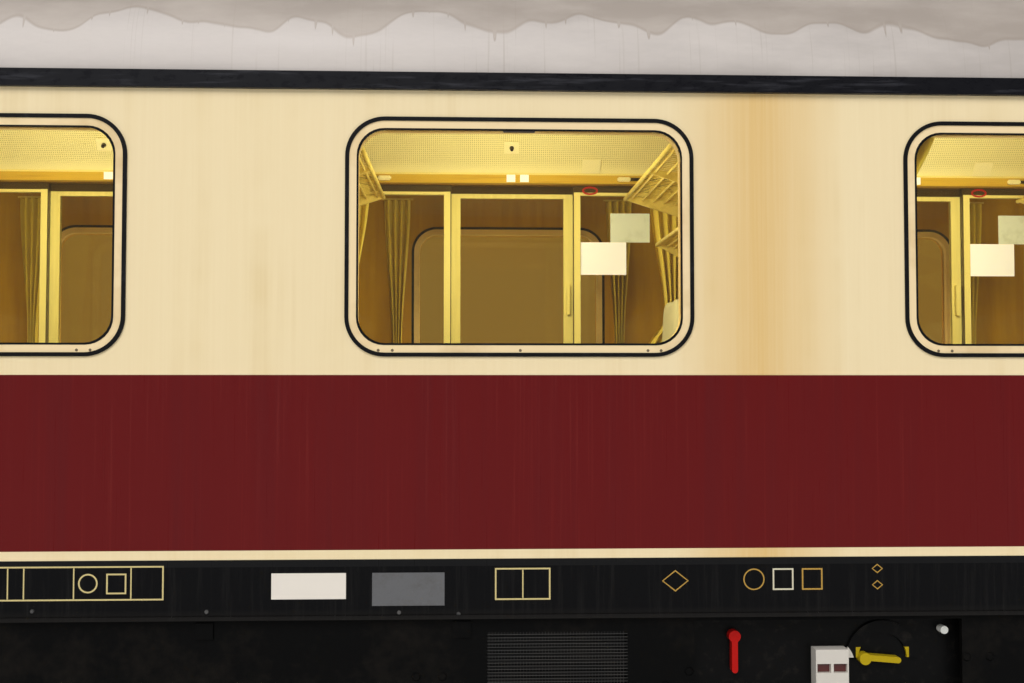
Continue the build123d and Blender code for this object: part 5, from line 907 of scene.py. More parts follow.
def puff(name, shape, cap):
    """Swells a closed block with air pressure in a cloth simulation, each point by at most cap."""
    mesh = bpy.data.meshes.new(name)
    shape.to_mesh(mesh)
    shape.free()
    piece = fresh_object(name, mesh)
    scene = bpy.context.scene
    cloth = piece.modifiers.new("cloth", "CLOTH")
    cloth.settings.use_pressure = True
    cloth.settings.uniform_pressure_force = PUFF_PRESSURE
    cloth.settings.effector_weights.gravity = 0
    cloth.point_cache.frame_start = 1
    cloth.point_cache.frame_end = PUFF_FRAMES
    for frame_number in range(1, PUFF_FRAMES + 1):
        scene.frame_set(frame_number)
    swollen = piece.evaluated_get(bpy.context.evaluated_depsgraph_get()).to_mesh()
    moves = [after.co - before.co for before, after in zip(mesh.vertices, swollen.vertices)]
    scene.frame_set(1)
    piece.modifiers.remove(cloth)
    for vertex, move in zip(mesh.vertices, moves):
        vertex.co += move * min(1, cap / max(move.length, 1e-6))
    smooth = piece.modifiers.new("smooth", "SUBSURF")
    smooth.levels = smooth.render_levels = 1
    bpy.context.view_layer.update()
    soft = bpy.data.meshes.new_from_object(piece.evaluated_get(bpy.context.evaluated_depsgraph_get()))
    piece.modifiers.clear()
    piece.data = soft
    soft.shade_smooth()
    print(name, "is", round(piece.dimensions.z, 3), "m high")
    return piece


cushion = puff("cushion", cushion_block, 0.022)
back = puff("back", back_block, 0.016)
headrest = puff("headrest", headrest_block, 0.014)

# %% [markdown]
# What the simulation doesn't know is added by moving points: the cushion drops towards its front edge,
# where the knees press it, and the back is drawn in along its sewn seams. Then each pad is leaned back
# and set in its place, measured from the foot of the bench's shell.

# %% Shaping and placing the pads
FRONT_DROP = 0.012
CHANNEL_PITCH = 0.130
CHANNEL_DEPTH = 0.011
CHANNEL_WIDTH = 0.014
SEWN_HALF = (0.23, 0.31)


def set_in_place(pad, lean, place):
    """Leans a pad back by so many degrees and moves it to its place in the seat."""
    pad.data.transform(Matrix.Translation(place) @ Matrix.Rotation(math.radians(lean), 4, "Y"))


for vertex in cushion.data.vertices:
    front = max(0, vertex.co.x / (CUSHION[0] / 2))
    vertex.co.z -= FRONT_DROP * front**3
for vertex in back.data.vertices:
    to_seam = abs((vertex.co.y + CHANNEL_PITCH) % CHANNEL_PITCH - CHANNEL_PITCH / 2)
    if vertex.co.x > 0 and abs(vertex.co.y) < SEWN_HALF[0] and abs(vertex.co.z) < SEWN_HALF[1]:
        vertex.co.x -= CHANNEL_DEPTH * math.exp(-((CHANNEL_PITCH / 2 - to_seam) / CHANNEL_WIDTH) ** 2)
set_in_place(cushion, -3.5, (0.41, 0, 0.335))
set_in_place(back, -4.3, (0.093, 0, 0.70))
set_in_place(headrest, -3, (0.186, 0, 0.99))
print("headrest over the floor:", round(max(vertex.co.z for vertex in headrest.data.vertices), 3), "m")

# %% [markdown]
# The seats are covered in a brown woven cloth and the headrests in a pale one. The weave is two sine
# waves multiplied, which gives crossing threads at any scale without a picture. A sheen lights the fuzz
# at grazing angles, as it does on worn upholstery.


# %% Seat cloth
def cloth_finish(name, base, dark, thread, sheen=0.3):
    """Woven cloth: two crossing sets of threads, with a fuzz that catches light at grazing angles."""
    cloth = Finish(name, base, 0.9, Sheen_Weight=sheen, Sheen_Roughness=0.5)
    phase = 6.283 / thread
    across = cloth.math("SINE", cloth.math("MULTIPLY", cloth.math("ADD", cloth.x, cloth.y), phase))
    up = cloth.math("SINE", cloth.math("MULTIPLY", cloth.math("ADD", cloth.z, cloth.x), phase))
    weave = cloth.ramp(cloth.math("MULTIPLY", across, up), -1, 1)
    soiled = cloth.ramp(cloth.grain(0.14, detail=4), 0.35, 0.75)
    tone = cloth.mix(cloth.math("MULTIPLY", weave, 0.4), base, dark)
    cloth.color(cloth.mix(cloth.math("MULTIPLY", soiled, 0.35), tone, dark))
    cloth.bump(weave, 0.0008)
    print(name, "has threads of", 1000 * thread, "mm")
    return cloth


seat_cloth = cloth_finish("seat_cloth", (0.20, 0.055, 0.025), (0.09, 0.022, 0.012), 0.004)
headrest_cloth = cloth_finish("headrest_cloth", (0.80, 0.76, 0.50), (0.62, 0.57, 0.34), 0.003, 0.15)

# %% [markdown]
# Ten partitions part the nine compartments, and on both faces of each, save the outer faces of the last
# two, stands a bench. A place is therefore a partition's X, a shift along the bench and a half turn
# where the seat looks the other way. The pads stand for the plain seats of the solid model.

# %% Seats
FLOOR_TOP = 1.278
PLACE_WIDTH = 0.5775
BENCH_MIDDLE = -0.38625
PARTITION_HALF = 0.02

PARTITION_XS = [(i - 4.5) * PITCH for i in range(10)]
bench_faces = [(x + PARTITION_HALF, 0) for x in PARTITION_XS[:-1]]
bench_faces += [(x - PARTITION_HALF, 180) for x in PARTITION_XS[1:]]
seat_ys = [BENCH_MIDDLE + k * PLACE_WIDTH for k in (-1, 0, 1)]
seat_places = [(x, y, FLOOR_TOP, turn) for x, turn in bench_faces for y in seat_ys]
for name, pad, finish, slot, fill in (
    ("seat_cushions", cushion, seat_cloth, "seat_cloth", 0.8),
    ("seat_backs", back, seat_cloth, "seat_cloth", 0.8),
    ("headrests", headrest, headrest_cloth, "seat_cloth", 0.9),
):
    piece = copies(name, pad, seat_places, finish)
    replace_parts(piece, "seats")

# %% [markdown]
# Under the pads runs a wooden plinth with a recess for the feet, and behind them a thin shell. Both are
# one outline drawn out along the bench with its edges eased.

# %% Bench frames
BENCH_LENGTH = 1.7805


def closed_mesh(name, shape):
    """The mesh of an edited shape, with its faces turned outwards."""
    bmesh.ops.recalc_face_normals(shape, faces=shape.faces)
    mesh = bpy.data.meshes.new(name)
    shape.to_mesh(mesh)
    shape.free()
    return mesh


def ease_edges(shape, offset):
    """Rounds every edge of a shape a little."""
    bmesh.ops.bevel(shape, geom=shape.edges, offset=offset, segments=2, affect="EDGES", clamp_overlap=True)


def drawn_out(name, outlines, length, ease):
    """Outlines in X and Z drawn out along Y, with their edges eased by a bevel."""
    shape = bmesh.new()
    for outline in outlines:
        near_side = [shape.verts.new((x, -length / 2, z)) for x, z in outline]
        far_side = [shape.verts.new((x, length / 2, z)) for x, z in outline]
        shape.faces.new(near_side)
        shape.faces.new(far_side[::-1])
        for i, start in enumerate(near_side):
            stop = (i + 1) % len(outline)
            shape.faces.new([near_side[stop], start, far_side[i], far_side[stop]])
    bmesh.ops.recalc_face_normals(shape, faces=shape.faces)
    ease_edges(shape, ease)
    return fresh_object(name, closed_mesh(name, shape))


plinth = [(0.004, 0.002), (0.47, 0.002), (0.47, 0.07), (0.60, 0.20), (0.60, 0.262), (0.004, 0.262)]
shell = [(0.002, 0.262), (0.03, 0.262), (0.03, 1.03), (0.002, 1.03)]
bench_frame = drawn_out("bench_frame", [plinth, shell], BENCH_LENGTH, 0.006)
bench_places = [(x, BENCH_MIDDLE, FLOOR_TOP, turn) for x, turn in bench_faces]
bench_wood = veneer("bench_wood", (0.12, 0.055, 0.018), (0.08, 0.035, 0.012), (0.02, 0.4, 0.02))
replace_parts(copies("bench_frames", bench_frame, bench_places, bench_wood), "seats")

# %% [markdown]
# The arms between the places are made the same way: a dark rounded pad on an upright. A bench has four,
# one at each end and one on either side of the middle place.

# %% Arm rests
ARM_WIDTH = 0.048

arm_pad = [(0.12, 0.592), (0.135, 0.58), (0.535, 0.58), (0.56, 0.592), (0.56, 0.618), (0.53, 0.64)]
arm_pad += [(0.14, 0.64), (0.12, 0.625)]
arm_upright = [(0.455, 0.262), (0.525, 0.262), (0.525, 0.59), (0.455, 0.59)]
arm = drawn_out("arm", [arm_pad, arm_upright], ARM_WIDTH, 0.009)
arm_ys = [BENCH_MIDDLE + (k - 1.5) * PLACE_WIDTH for k in range(4)]
arm_places = [(x, y, FLOOR_TOP, turn) for x, turn in bench_faces for y in arm_ys]
arm_leather = dusty("arm_leather", (0.035, 0.02, 0.014), (0.09, 0.06, 0.045), 0.42, 0.06, 0.35)
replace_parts(copies("arm_rests", arm, arm_places, arm_leather), "seats")

# %% [markdown]
# ## Luggage racks
# The racks hold fine rods across their tubes. They are real rods here, because one looks up at them
# through every window.

# %% Rods across the racks
RACK_RISE = 0.060
RACK_ROD_PITCH = 0.0425
RACK_ROD_LIFT = 0.009
RACK_ROD_RADIUS = 0.003


def rod(name, length, radius, sides=8):
    """A round rod along X, centred on the origin, with closed ends."""
    shape = bmesh.new()
    ends = []
    for x in (-length / 2, length / 2):
        angles = [math.tau * i / sides for i in range(sides)]
        ends.append([shape.verts.new((x, radius * math.cos(a), radius * math.sin(a))) for a in angles])
    shape.faces.new(ends[0][::-1])
    shape.faces.new(ends[1])
    for i in range(sides):
        j = (i + 1) % sides
        shape.faces.new((ends[0][i], ends[0][j], ends[1][j], ends[1][i]))
    return fresh_object(name, closed_mesh(name, shape))


rack_ys = [BENCH_MIDDLE + (i - 20) * RACK_ROD_PITCH for i in range(41)]
rack_rod_places = [(x, y, FLOOR_TOP, turn) for x, turn in bench_faces for y in rack_ys]
for name, height, depth in (("wide_rack_rods", 1.66, 0.43), ("narrow_rack_rods", 1.40, 0.25)):
    rack_rod = rod(name, depth - 0.02, RACK_ROD_RADIUS, 6)
    slope = math.degrees(math.atan2(RACK_RISE, depth))
    set_in_place(rack_rod, -slope, (depth / 2, 0, height + RACK_RISE / 2 + RACK_ROD_LIFT))
    copies(name, rack_rod, rack_rod_places, rack_metal)

# %% [markdown]
# ## Corner plates
# At the four corners the sides lean in under the roof's round edge and leave a gap over the gutter. A
# plate closes it, as the roof's own sheet does on the real coach. Its top follows the roof's inner arch,
# so it is stepped along the gap with the arch's height worked out at each step.

# %% Corner plates
PLATE_START = 12.08
PLATE_END = 12.575
PLATE_SLOPE = 0.0833
PLATE_SETBACK = 0.012
PLATE_THICKNESS = 0.006
PLATE_LAP = 0.018
PLATE_STEPS = 14
EAVE_HEIGHT = 3.198
ARCH_MIDDLE = 0.8125
ARCH_RADIUS = 0.53

corner_shape = bmesh.new()
for along in (-1, 1):
    for across in (-1, 1):
        rows = []
        for step in range(PLATE_STEPS + 1):
            x = PLATE_START + (PLATE_END - PLATE_START) * step / PLATE_STEPS
            y = WALL_FACE - (x - TAPER_START) * PLATE_SLOPE - PLATE_SETBACK
            rise = math.sqrt(max(0, ARCH_RADIUS**2 - (y - ARCH_MIDDLE) ** 2))
            spots = [(y, -PLATE_LAP), (y, rise + PLATE_LAP)]
            spots += [(y - PLATE_THICKNESS, z) for y, z in reversed(spots)]
            points = [(along * x, across * y, EAVE_HEIGHT + z) for y, z in spots]
            rows.append([corner_shape.verts.new(point) for point in points])
        for one, other in zip(rows, rows[1:]):
            for corner in range(4):
                after = (corner + 1) % 4
                corner_shape.faces.new((one[corner], one[after], other[after], other[corner]))
        corner_shape.faces.new(rows[0])
        corner_shape.faces.new(rows[-1])
corner_sheet = closed_mesh("corner_plates", corner_shape)
corner_sheet.materials.append(roof_paint.material)
keep("corner_plates", corner_sheet)

# %% [markdown]
# ## Curtains
# Yellow curtains hang beside every window and on the corridor wall, each from a short track. They stand
# in three rows: at the compartment windows, at the corridor windows, which are a little off the
# compartments' middle, and behind the glazed screens beside the doors.

# %% Curtain tracks
COMPARTMENT_XS = [(i - 4) * PITCH for i in range(9)]
WINDOW_CURTAIN_X = 0.792
WINDOW_CURTAIN_Y = 1.3072
CURTAIN_TOP = 3.113
CORRIDOR_WINDOW_SHIFT = 0.05
CORRIDOR_CURTAIN_X = 0.705
SCREEN_CURTAIN_SHIFT = 0.03
SCREEN_CURTAIN_X = 0.905
SCREEN_CURTAIN_Y = 0.5347
SCREEN_CURTAIN_TOP = 3.065
TRACK_LIFT = 0.007
# from the compartment's middle to the middle of the window, and from there to a curtain, y and top
CURTAIN_ROWS = (
    (0, WINDOW_CURTAIN_X, -WINDOW_CURTAIN_Y, CURTAIN_TOP),
    (CORRIDOR_WINDOW_SHIFT, CORRIDOR_CURTAIN_X, WINDOW_CURTAIN_Y, CURTAIN_TOP),
    (SCREEN_CURTAIN_SHIFT, SCREEN_CURTAIN_X, SCREEN_CURTAIN_Y, SCREEN_CURTAIN_TOP),
)
track_places = [
    (x + shift + side * reach, y, top + TRACK_LIFT, 0)
    for x in COMPARTMENT_XS
    for side in (-1, 1)
    for shift, reach, y, top in CURTAIN_ROWS
]
copies("curtain_tracks", rod("track", 0.2, 0.006), track_places, rack_metal)

# %% [markdown]
# A curtain doesn't stretch, so where it is gathered narrower its pleats must get deeper. The length of
# cloth in a row of pleats has no simple formula, so the depth that keeps the cloth's true width is found
# by halving: a depth that uses too little cloth is too small, one that uses too much is too large.

# %% Curtain pleats
PLEATS = 4
PLEAT_STEPS = 10


def pleated_width(width, depth):
    """The length of cloth in a row of pleats that wide and deep."""
    steps = [math.hypot(width, math.tau * PLEATS * depth * math.cos(math.tau * i / 40)) for i in range(40)]
    return sum(steps) / len(steps)


def pleat_depth(width, flat):
    """How deep the pleats are where cloth of the flat width is gathered to a smaller one."""
    low, high = 0.0, 0.1
    for _ in range(24):
        depth = (low + high) / 2
        low, high = (depth, high) if pleated_width(width, depth) < flat else (low, depth)
    return low


print("pleats of 0.46 m of cloth on 0.165 m:", round(1000 * pleat_depth(0.165, 0.46), 1), "mm deep")

# %% [markdown]
# Each curtain is drawn in by a tie above the hem, so its foot flares. It is a grid of points: every row
# has its own width between the top, the tie and the hem, and the pleat depth that belongs to it. The
# waves wander a little from row to row, and start differently in neighbours, so that they don't look
# like copies.

# %% One curtain
CURTAIN_GRID_ROWS = 26


def ease(t):
    t = min(1, max(0, t))
    return t * t * (3 - 2 * t)


def curtain(name, place, length, widths, flat, tie=0.82, lean=(0, 0), seed=0):
    """A curtain hung from place. widths are at the top, tie and hem; lean shifts the tie and the hem."""
    top_width, tie_width, hem_width = widths
    sheet = bmesh.new()
    grid = []
    for row in range(CURTAIN_GRID_ROWS + 1):
        t = row / CURTAIN_GRID_ROWS
        drawn_in = ease(t / tie) if t < tie else 1 - ease((t - tie) / (1 - tie))
        end_width = top_width if t < tie else hem_width
        width = end_width + (tie_width - end_width) * drawn_in
        shift = lean[0] * ease(t / tie) + (lean[1] - lean[0]) * ease((t - tie) / (1 - tie))
        depth = pleat_depth(width, flat)
        line = []
        for i in range(PLEATS * PLEAT_STEPS + 1):
            s = i / (PLEATS * PLEAT_STEPS)
            wave = math.sin(math.tau * PLEATS * s + 0.5 * math.sin(3 * t + seed))
            x = place[0] + shift + width * (s - 0.5)
            line.append(sheet.verts.new((x, place[1] + depth * wave, place[2] - length * t)))
        grid.append(line)
    for upper, lower in zip(grid, grid[1:]):
        for a, b, c, d in zip(upper, upper[1:], lower[1:], lower):
            sheet.faces.new((a, d, c, b))
    mesh = bpy.data.meshes.new(name)
    sheet.to_mesh(mesh)
    sheet.free()
    mesh.shade_smooth()
    mesh.materials.append(curtain_cloth.material)
    piece = keep(name, mesh)
    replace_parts(piece, "curtains")


curtain_cloth = cloth_finish("curtain_cloth", (0.91, 0.74, 0.12), (0.76, 0.55, 0.05), 0.0035, 0.2)

# %% [markdown]
# Every compartment gets a pair in each row. The screen curtains are drawn a little away from the door
# at the tie and swing back below it. One window curtain is left half drawn, so it is wider at the top
# and hangs over to its side.

# %% Hang the curtains
CURTAIN_LENGTH = 1.15
CURTAIN_FLAT = 0.46
GATHERED_WIDTHS = (0.165, 0.06, 0.14)
SCREEN_CURTAIN_LENGTH = 0.915
SCREEN_WIDTHS = (0.22, 0.085, 0.19)
HALF_DRAWN = (5, -1)
HALF_DRAWN_X = -0.66
HALF_DRAWN_FLAT = 0.55
HALF_DRAWN_WIDTHS = (0.32, 0.06, 0.14)

for number, middle in enumerate(COMPARTMENT_XS):
    for side in (-1, 1):
        tag = f"{number + 1}_{'left' if side < 0 else 'right'}"
        screen_x = middle + SCREEN_CURTAIN_SHIFT + side * SCREEN_CURTAIN_X
        screen_place = (screen_x, SCREEN_CURTAIN_Y, SCREEN_CURTAIN_TOP)
        corridor_x = middle + CORRIDOR_WINDOW_SHIFT + side * CORRIDOR_CURTAIN_X
        corridor_place = (corridor_x, WINDOW_CURTAIN_Y, CURTAIN_TOP)
        window_place = (middle + side * WINDOW_CURTAIN_X, -WINDOW_CURTAIN_Y, CURTAIN_TOP)
        half_place = (middle + HALF_DRAWN_X, -WINDOW_CURTAIN_Y, CURTAIN_TOP)
        curtain(
            f"screen_curtain_{tag}", screen_place, SCREEN_CURTAIN_LENGTH, SCREEN_WIDTHS, CURTAIN_FLAT,
            tie=0.81, lean=(side * 0.022, -side * 0.024), seed=number + side,
        )
        curtain(
            f"corridor_curtain_{tag}", corridor_place, CURTAIN_LENGTH, GATHERED_WIDTHS, CURTAIN_FLAT,
            seed=2 * number + side,
        )
        if (number, side) == HALF_DRAWN:
            curtain(
                f"window_curtain_{tag}", half_place, CURTAIN_LENGTH, HALF_DRAWN_WIDTHS, HALF_DRAWN_FLAT,
                tie=0.62, lean=(-0.15, -0.16),
            )
        else:
            curtain(
                f"window_curtain_{tag}", window_place, CURTAIN_LENGTH, GATHERED_WIDTHS, CURTAIN_FLAT,
                seed=3 * number + side,
            )

# %% [markdown]
# ## Small fittings
# Screws, hooks, cards and painted outlines are too small for the solid model. Each is a block, a round
# head or a thin ring, set in every compartment by the same node tree. Notices, signs and labels stay
# blank: only their cards, plates and outlines are made.

# %% Blocks, heads and rings
SQUARE = [(-1, -1), (1, -1), (1, 1), (-1, 1)]
DIAMOND = [(0, -1), (1, 0), (0, 1), (-1, 0)]
ROUND = [(math.cos(math.tau * i / 24), math.sin(math.tau * i / 24)) for i in range(24)]


def block(name, size, ease=0.0, lean=0):
    """A box of that size round the origin, eased by a bevel, its -Y face turned down by lean degrees."""
    shape = bmesh.new()
    bmesh.ops.create_cube(shape, size=1)
    bmesh.ops.scale(shape, vec=size, verts=shape.verts)
    if ease:
        ease_edges(shape, ease)
    shape.transform(Matrix.Rotation(math.radians(lean), 4, "X"))
    return fresh_object(name, closed_mesh(name, shape))


def head(name, radius, depth, lean=0):
    """A round head that narrows towards -Y."""
    shape = bmesh.new()
    tip = 0.72 * radius
    bmesh.ops.create_cone(shape, cap_ends=True, segments=16, radius1=radius, radius2=tip, depth=depth)
    shape.transform(Matrix.Rotation(math.radians(90 + lean), 4, "X"))
    return fresh_object(name, closed_mesh(name, shape))


def ring(name, corners, size, line, depth=0.0008):
    """A flat ring facing -Y: the corners stretched to size, with a line that wide round the opening."""
    shape = bmesh.new()
    loops = []
    for inset, y in ((0, -depth / 2), (0, depth / 2), (line, depth / 2), (line, -depth / 2)):
        half_x, half_z = size[0] / 2 - inset, size[1] / 2 - inset
        loops.append([shape.verts.new((half_x * x, y, half_z * z)) for x, z in corners])
    for here, there in zip(loops, loops[1:] + loops[:1]):
        for i in range(len(corners)):
            j = (i + 1) % len(corners)
            shape.faces.new((here[i], here[j], there[j], there[i]))
    return fresh_object(name, closed_mesh(name, shape))


def fit(name, template, finish, slot, *spots):
    """A template at the same spots, x from the middle and then y and z, in every compartment."""
    places = [(middle + x, y, z, 0) for middle in COMPARTMENT_XS for x, y, z in spots]
    copies(name, template, places, finish)


print("corners of the outlines:", len(SQUARE), len(DIAMOND), len(ROUND))

# %% [markdown]
# Blank cards are fixed to the glass beside each door and to the beam over it, and over the glass is a
# red oval, the frame of a sign. Seen through the gold film, white card would look yellow. A faint blue
# glow in the finish brings it back to the near white that the photograph shows.

# %% Cards and signs
SIDE_LIGHT_FACE = 0.5735
WALL_FRONT = 0.560
BEAM_FRONT = 0.5347
CARD_THICKNESS = 0.0006
CARD_GAP = 0.0008
SIGN_GAP = 0.0009

card_white = Finish("card_white", (1, 0.99, 0.97), 0.7, Emission_Strength=0.3)
card_white.shader.inputs["Emission Color"].default_value = (0.5, 0.6, 1, 1)
# the green card glows faintly blue too: painted light that lifts it towards white
card_green = Finish("card_green", (0.72, 0.78, 0.66), 0.6, Emission_Strength=0.1)
card_green.color(card_green.wear((0.74, 0.8, 0.68), (0.6, 0.64, 0.46), 0.1, 0.5))
card_green.shader.inputs["Emission Color"].default_value = (0.5, 0.65, 1, 1)
red_enamel = Finish("red_enamel", (0.45, 0.014, 0.008), 0.35)

white_card = block("white_card", (0.263, CARD_THICKNESS, 0.187))
fit("white_cards", white_card, card_white, "panel_veneer", (0.5685, SIDE_LIGHT_FACE - CARD_GAP, 2.6685))
green_card = block("green_card", (0.227, CARD_THICKNESS, 0.167))
fit("green_cards", green_card, card_green, "panel_veneer", (0.7225, SIDE_LIGHT_FACE - CARD_GAP, 2.8455))
oval_sign = ring("oval_sign", ROUND, (0.092, 0.05), 0.011)
fit("oval_signs", oval_sign, red_enamel, "panel_veneer", (0.491, WALL_FRONT - SIGN_GAP, 3.057))
beam_card = block("beam_card", (0.05, CARD_THICKNESS, 0.042))
beam_spots = [(x, BEAM_FRONT - SIGN_GAP, 3.121) for x in (0.036, 0.113)]
fit("beam_cards", beam_card, card_white, "ceiling_panel", *beam_spots)

# %% [markdown]
# On the sloping cove sit two bright plates, one with a knob for the light or the heating, and in front
# of the beam runs a coat rod on either side of the door with three hooks on each. The cove's parts are
# leaned with its slope, or they would stand out of it like shelves.

# %% Knobs and coat hooks
COVE_LEAN = 35.2
COAT_ROD_Y = 0.5225
COAT_ROD_HEIGHT = 3.117
COAT_HOOK_Y = 0.4965

hook_metal = dusty("hook_metal", (0.025, 0.016, 0.01), (0.07, 0.045, 0.025), 0.4, 0.03, 0.4, Metallic=0.3)
bright_metal = Finish("bright_metal", (0.95, 0.88, 0.52), 0.4)

cove_plate = block("cove_plate", (0.105, 0.004, 0.085), 0.0015, COVE_LEAN)
fit("cove_plates", cove_plate, bright_metal, "ceiling_panel", (0.494, 0.5107, 3.188))
knob_plate = block("knob_plate", (0.085, 0.004, 0.075), 0.0015, COVE_LEAN)
fit("knob_plates", knob_plate, bright_metal, "ceiling_panel", (0.037, 0.4467, 3.279))
ceiling_knob = head("ceiling_knob", 0.013, 0.022, COVE_LEAN)
fit("ceiling_knobs", ceiling_knob, hook_metal, "ceiling_panel", (0.037, 0.4322, 3.2688))

coat_rod = rod("coat_rod", 0.39, 0.009)
rod_spots = [(x, COAT_ROD_Y, COAT_ROD_HEIGHT) for x in (-0.915, 0.915)]
fit("coat_rods", coat_rod, hook_metal, "rack_metal", *rod_spots)
rod_end = block("rod_end", (0.075, 0.022, 0.026), 0.006)
end_spots = [(x, COAT_ROD_Y, COAT_ROD_HEIGHT) for x in (-0.682, 0.682)]
fit("rod_ends", rod_end, bright_metal, "rack_metal", *end_spots)
rod_hook = head("rod_hook", 0.011, 0.034)
hook_spots = [(side * x, COAT_HOOK_Y, COAT_ROD_HEIGHT) for side in (-1, 1) for x in (0.79, 0.93, 1.06)]
fit("rod_hooks", rod_hook, hook_metal, "rack_metal", *hook_spots)

# %% [markdown]
# Round each opening of a window frame lies a thin dark seal, in the frame's foot are five screws and at
# its head is a catch. The seal is a ring with rounded corners that stands a millimetre proud, so it
# catches a fine line of light as rubber does.

# %% Seals, screws and catches on the window frames
WINDOW_OPENING = (1.304, 0.864, 0.110)
WINDOW_MIDDLE = 2.538
SEAL_LINE = 0.008
SEAL_FACE = -1.4162
FRAME_FACE = -1.4147


def rounded(width, height, radius):
    """The corners of a rounded rectangle, scaled to lie between -1 and 1 on both axes."""
    corners = []
    for quarter, (side_x, side_z) in enumerate(((1, 1), (-1, 1), (-1, -1), (1, -1))):
        for step in range(9):
            angle = math.radians(90 * quarter + 90 * step / 8)
            x = side_x * (width / 2 - radius) + radius * math.cos(angle)
            z = side_z * (height / 2 - radius) + radius * math.sin(angle)
            corners.append((2 * x / width, 2 * z / height))
    return corners


seal_size = [side + SEAL_LINE for side in WINDOW_OPENING[:2]]
window_seal = ring("window_seal", rounded(*WINDOW_OPENING), seal_size, SEAL_LINE, 0.001)
fit("window_seals", window_seal, gasket_rubber, "gasket_rubber", (0, SEAL_FACE, WINDOW_MIDDLE))
screw_steel = dusty("screw_steel", (0.2, 0.15, 0.09), (0.1, 0.07, 0.04), 0.4, 0.01, 0.5, Metallic=0.5)
frame_screw = head("frame_screw", 0.0075, 0.003)
screw_spots = [(x, FRAME_FACE, 2.081) for x in (-0.567, -0.511, 0, 0.514, 0.567)]
fit("frame_screws", frame_screw, screw_steel, "frame_aluminium", *screw_spots)
frame_catch = block("frame_catch", (0.128, 0.004, 0.012), 0.0015)
fit("frame_catches", frame_catch, hook_metal, "frame_aluminium", (-0.005, FRAME_FACE, 2.965))

# %% [markdown]
# ## The sole bar and the skirts
# The sole bar carries a row of outlines in yellow, ochre and pale paint: boxes, circles and diamonds.
# They are rings of less than a millimetre in front of the steel. Rings keep their line even in width,
# which a stretched pattern in the finish would not.

# %% Outlines in paint
SOLE_PAINT = -1.4132

yellow_line = Finish("yellow_line", (0.58, 0.47, 0.2), 0.5)
ochre_line = Finish("ochre_line", (0.42, 0.24, 0.035), 0.5)
pale_line = Finish("pale_line", (0.62, 0.57, 0.42), 0.5)


def cell_row(left, right, bottom, top, dividers):
    """Boxes side by side: an outline, and upright lines where it is divided."""
    height = top - bottom
    middle = (bottom + top) / 2
    outline = ring("outline", SQUARE, (right - left, height), 0.006)
    outline_place = ((left + right) / 2, SOLE_PAINT, middle, 0)
    copies(f"outline_{len(dividers)}", outline, [outline_place], yellow_line)
    divider = block("divider", (0.005, 0.0008, height - 0.014))
    divider_places = [(x, SOLE_PAINT, middle, 0) for x in dividers]
    copies(f"dividers_{len(dividers)}", divider, divider_places, yellow_line)


cell_row(-2.062, -1.403, 1.098, 1.232, (-2.007, -1.945, -1.752, -1.530))
cell_row(-0.101, 0.120, 1.090, 1.216, (0.010,))
for name, corners, size, line, paint, x, z in (
    ("sign_diamond", DIAMOND, (0.108, 0.086), 0.006, ochre_line, 0.620, 1.161),
    ("sign_circle", ROUND, (0.086, 0.086), 0.005, ochre_line, 0.937, 1.165),
    ("sign_box_pale", SQUARE, (0.084, 0.086), 0.006, pale_line, 1.055, 1.165),
    ("sign_box_yellow", SQUARE, (0.084, 0.086), 0.006, ochre_line, 1.173, 1.165),
    ("cell_circle", ROUND, (0.076, 0.076), 0.006, yellow_line, -1.697, 1.165),
    ("cell_box", SQUARE, (0.078, 0.080), 0.006, yellow_line, -1.587, 1.163),
    ("small_diamond_upper", DIAMOND, (0.046, 0.038), 0.005, ochre_line, 1.438, 1.205),
    ("small_diamond_lower", DIAMOND, (0.046, 0.038), 0.005, ochre_line, 1.438, 1.140),
):
    copies(name, ring(name, corners, size, line), [(x, SOLE_PAINT, z, 0)], paint)

# %% [markdown]
# Between the outlines two blank plates are fixed, one white and one grey. Small bolts stand along the
# ledge under them, and large ones hold the skirts.

# %% Plates and bolts
PLATE_FRONT = -1.4134
LEDGE_FRONT = -1.4155
SKIRT_FRONT = -1.3905

white_enamel = Finish("white_enamel", (0.74, 0.68, 0.6), 0.4)
grey_enamel = dusty("grey_plate", (0.10, 0.10, 0.105), (0.07, 0.065, 0.06), 0.4, 0.08, 0.3)
for name, width, height, x, z, paint in (
    ("white_plate", 0.293, 0.102, -0.8365, 1.149, white_enamel),
    ("grey_plate", 0.286, 0.130, -0.444, 1.135, grey_enamel),
):
    plate = block("plate", (width, 0.0012, height))
    copies(name, plate, [(x, PLATE_FRONT, z, 0)], paint)

ledge_bolts = [(-1.91, 1.058), (-1.235, 1.051), (-0.48, 1.043), (-0.245, 1.035)]
ledge_places = [(x, LEDGE_FRONT, z, 0) for x, z in ledge_bolts]
copies("ledge_bolts", head("bolt", 0.009, 0.005), ledge_places, step_steel)
skirt_bolts = [(-0.413, 0.786), (-0.309, 0.786), (0.583, 0.742), (0.677, 0.798)]
skirt_bolts += [(1.807, 0.845), (1.903, 0.845)]
skirt_places = [(x, SKIRT_FRONT - 0.0035, z, 0) for x, z in skirt_bolts]
copies("skirt_bolts", head("bolt", 0.018, 0.006), skirt_places, skirt_paint)

# %% [markdown]
# Over the slots of the grille in one skirt lies a wire mesh. Its wires are real, 44 upright and 23
# level, the level ones just in front. The mesh is at this one place only, so the count stays low.

# %% Wire mesh over the grille
MESH_PITCH = 0.0125
MESH_FACE = SKIRT_FRONT - 0.0016

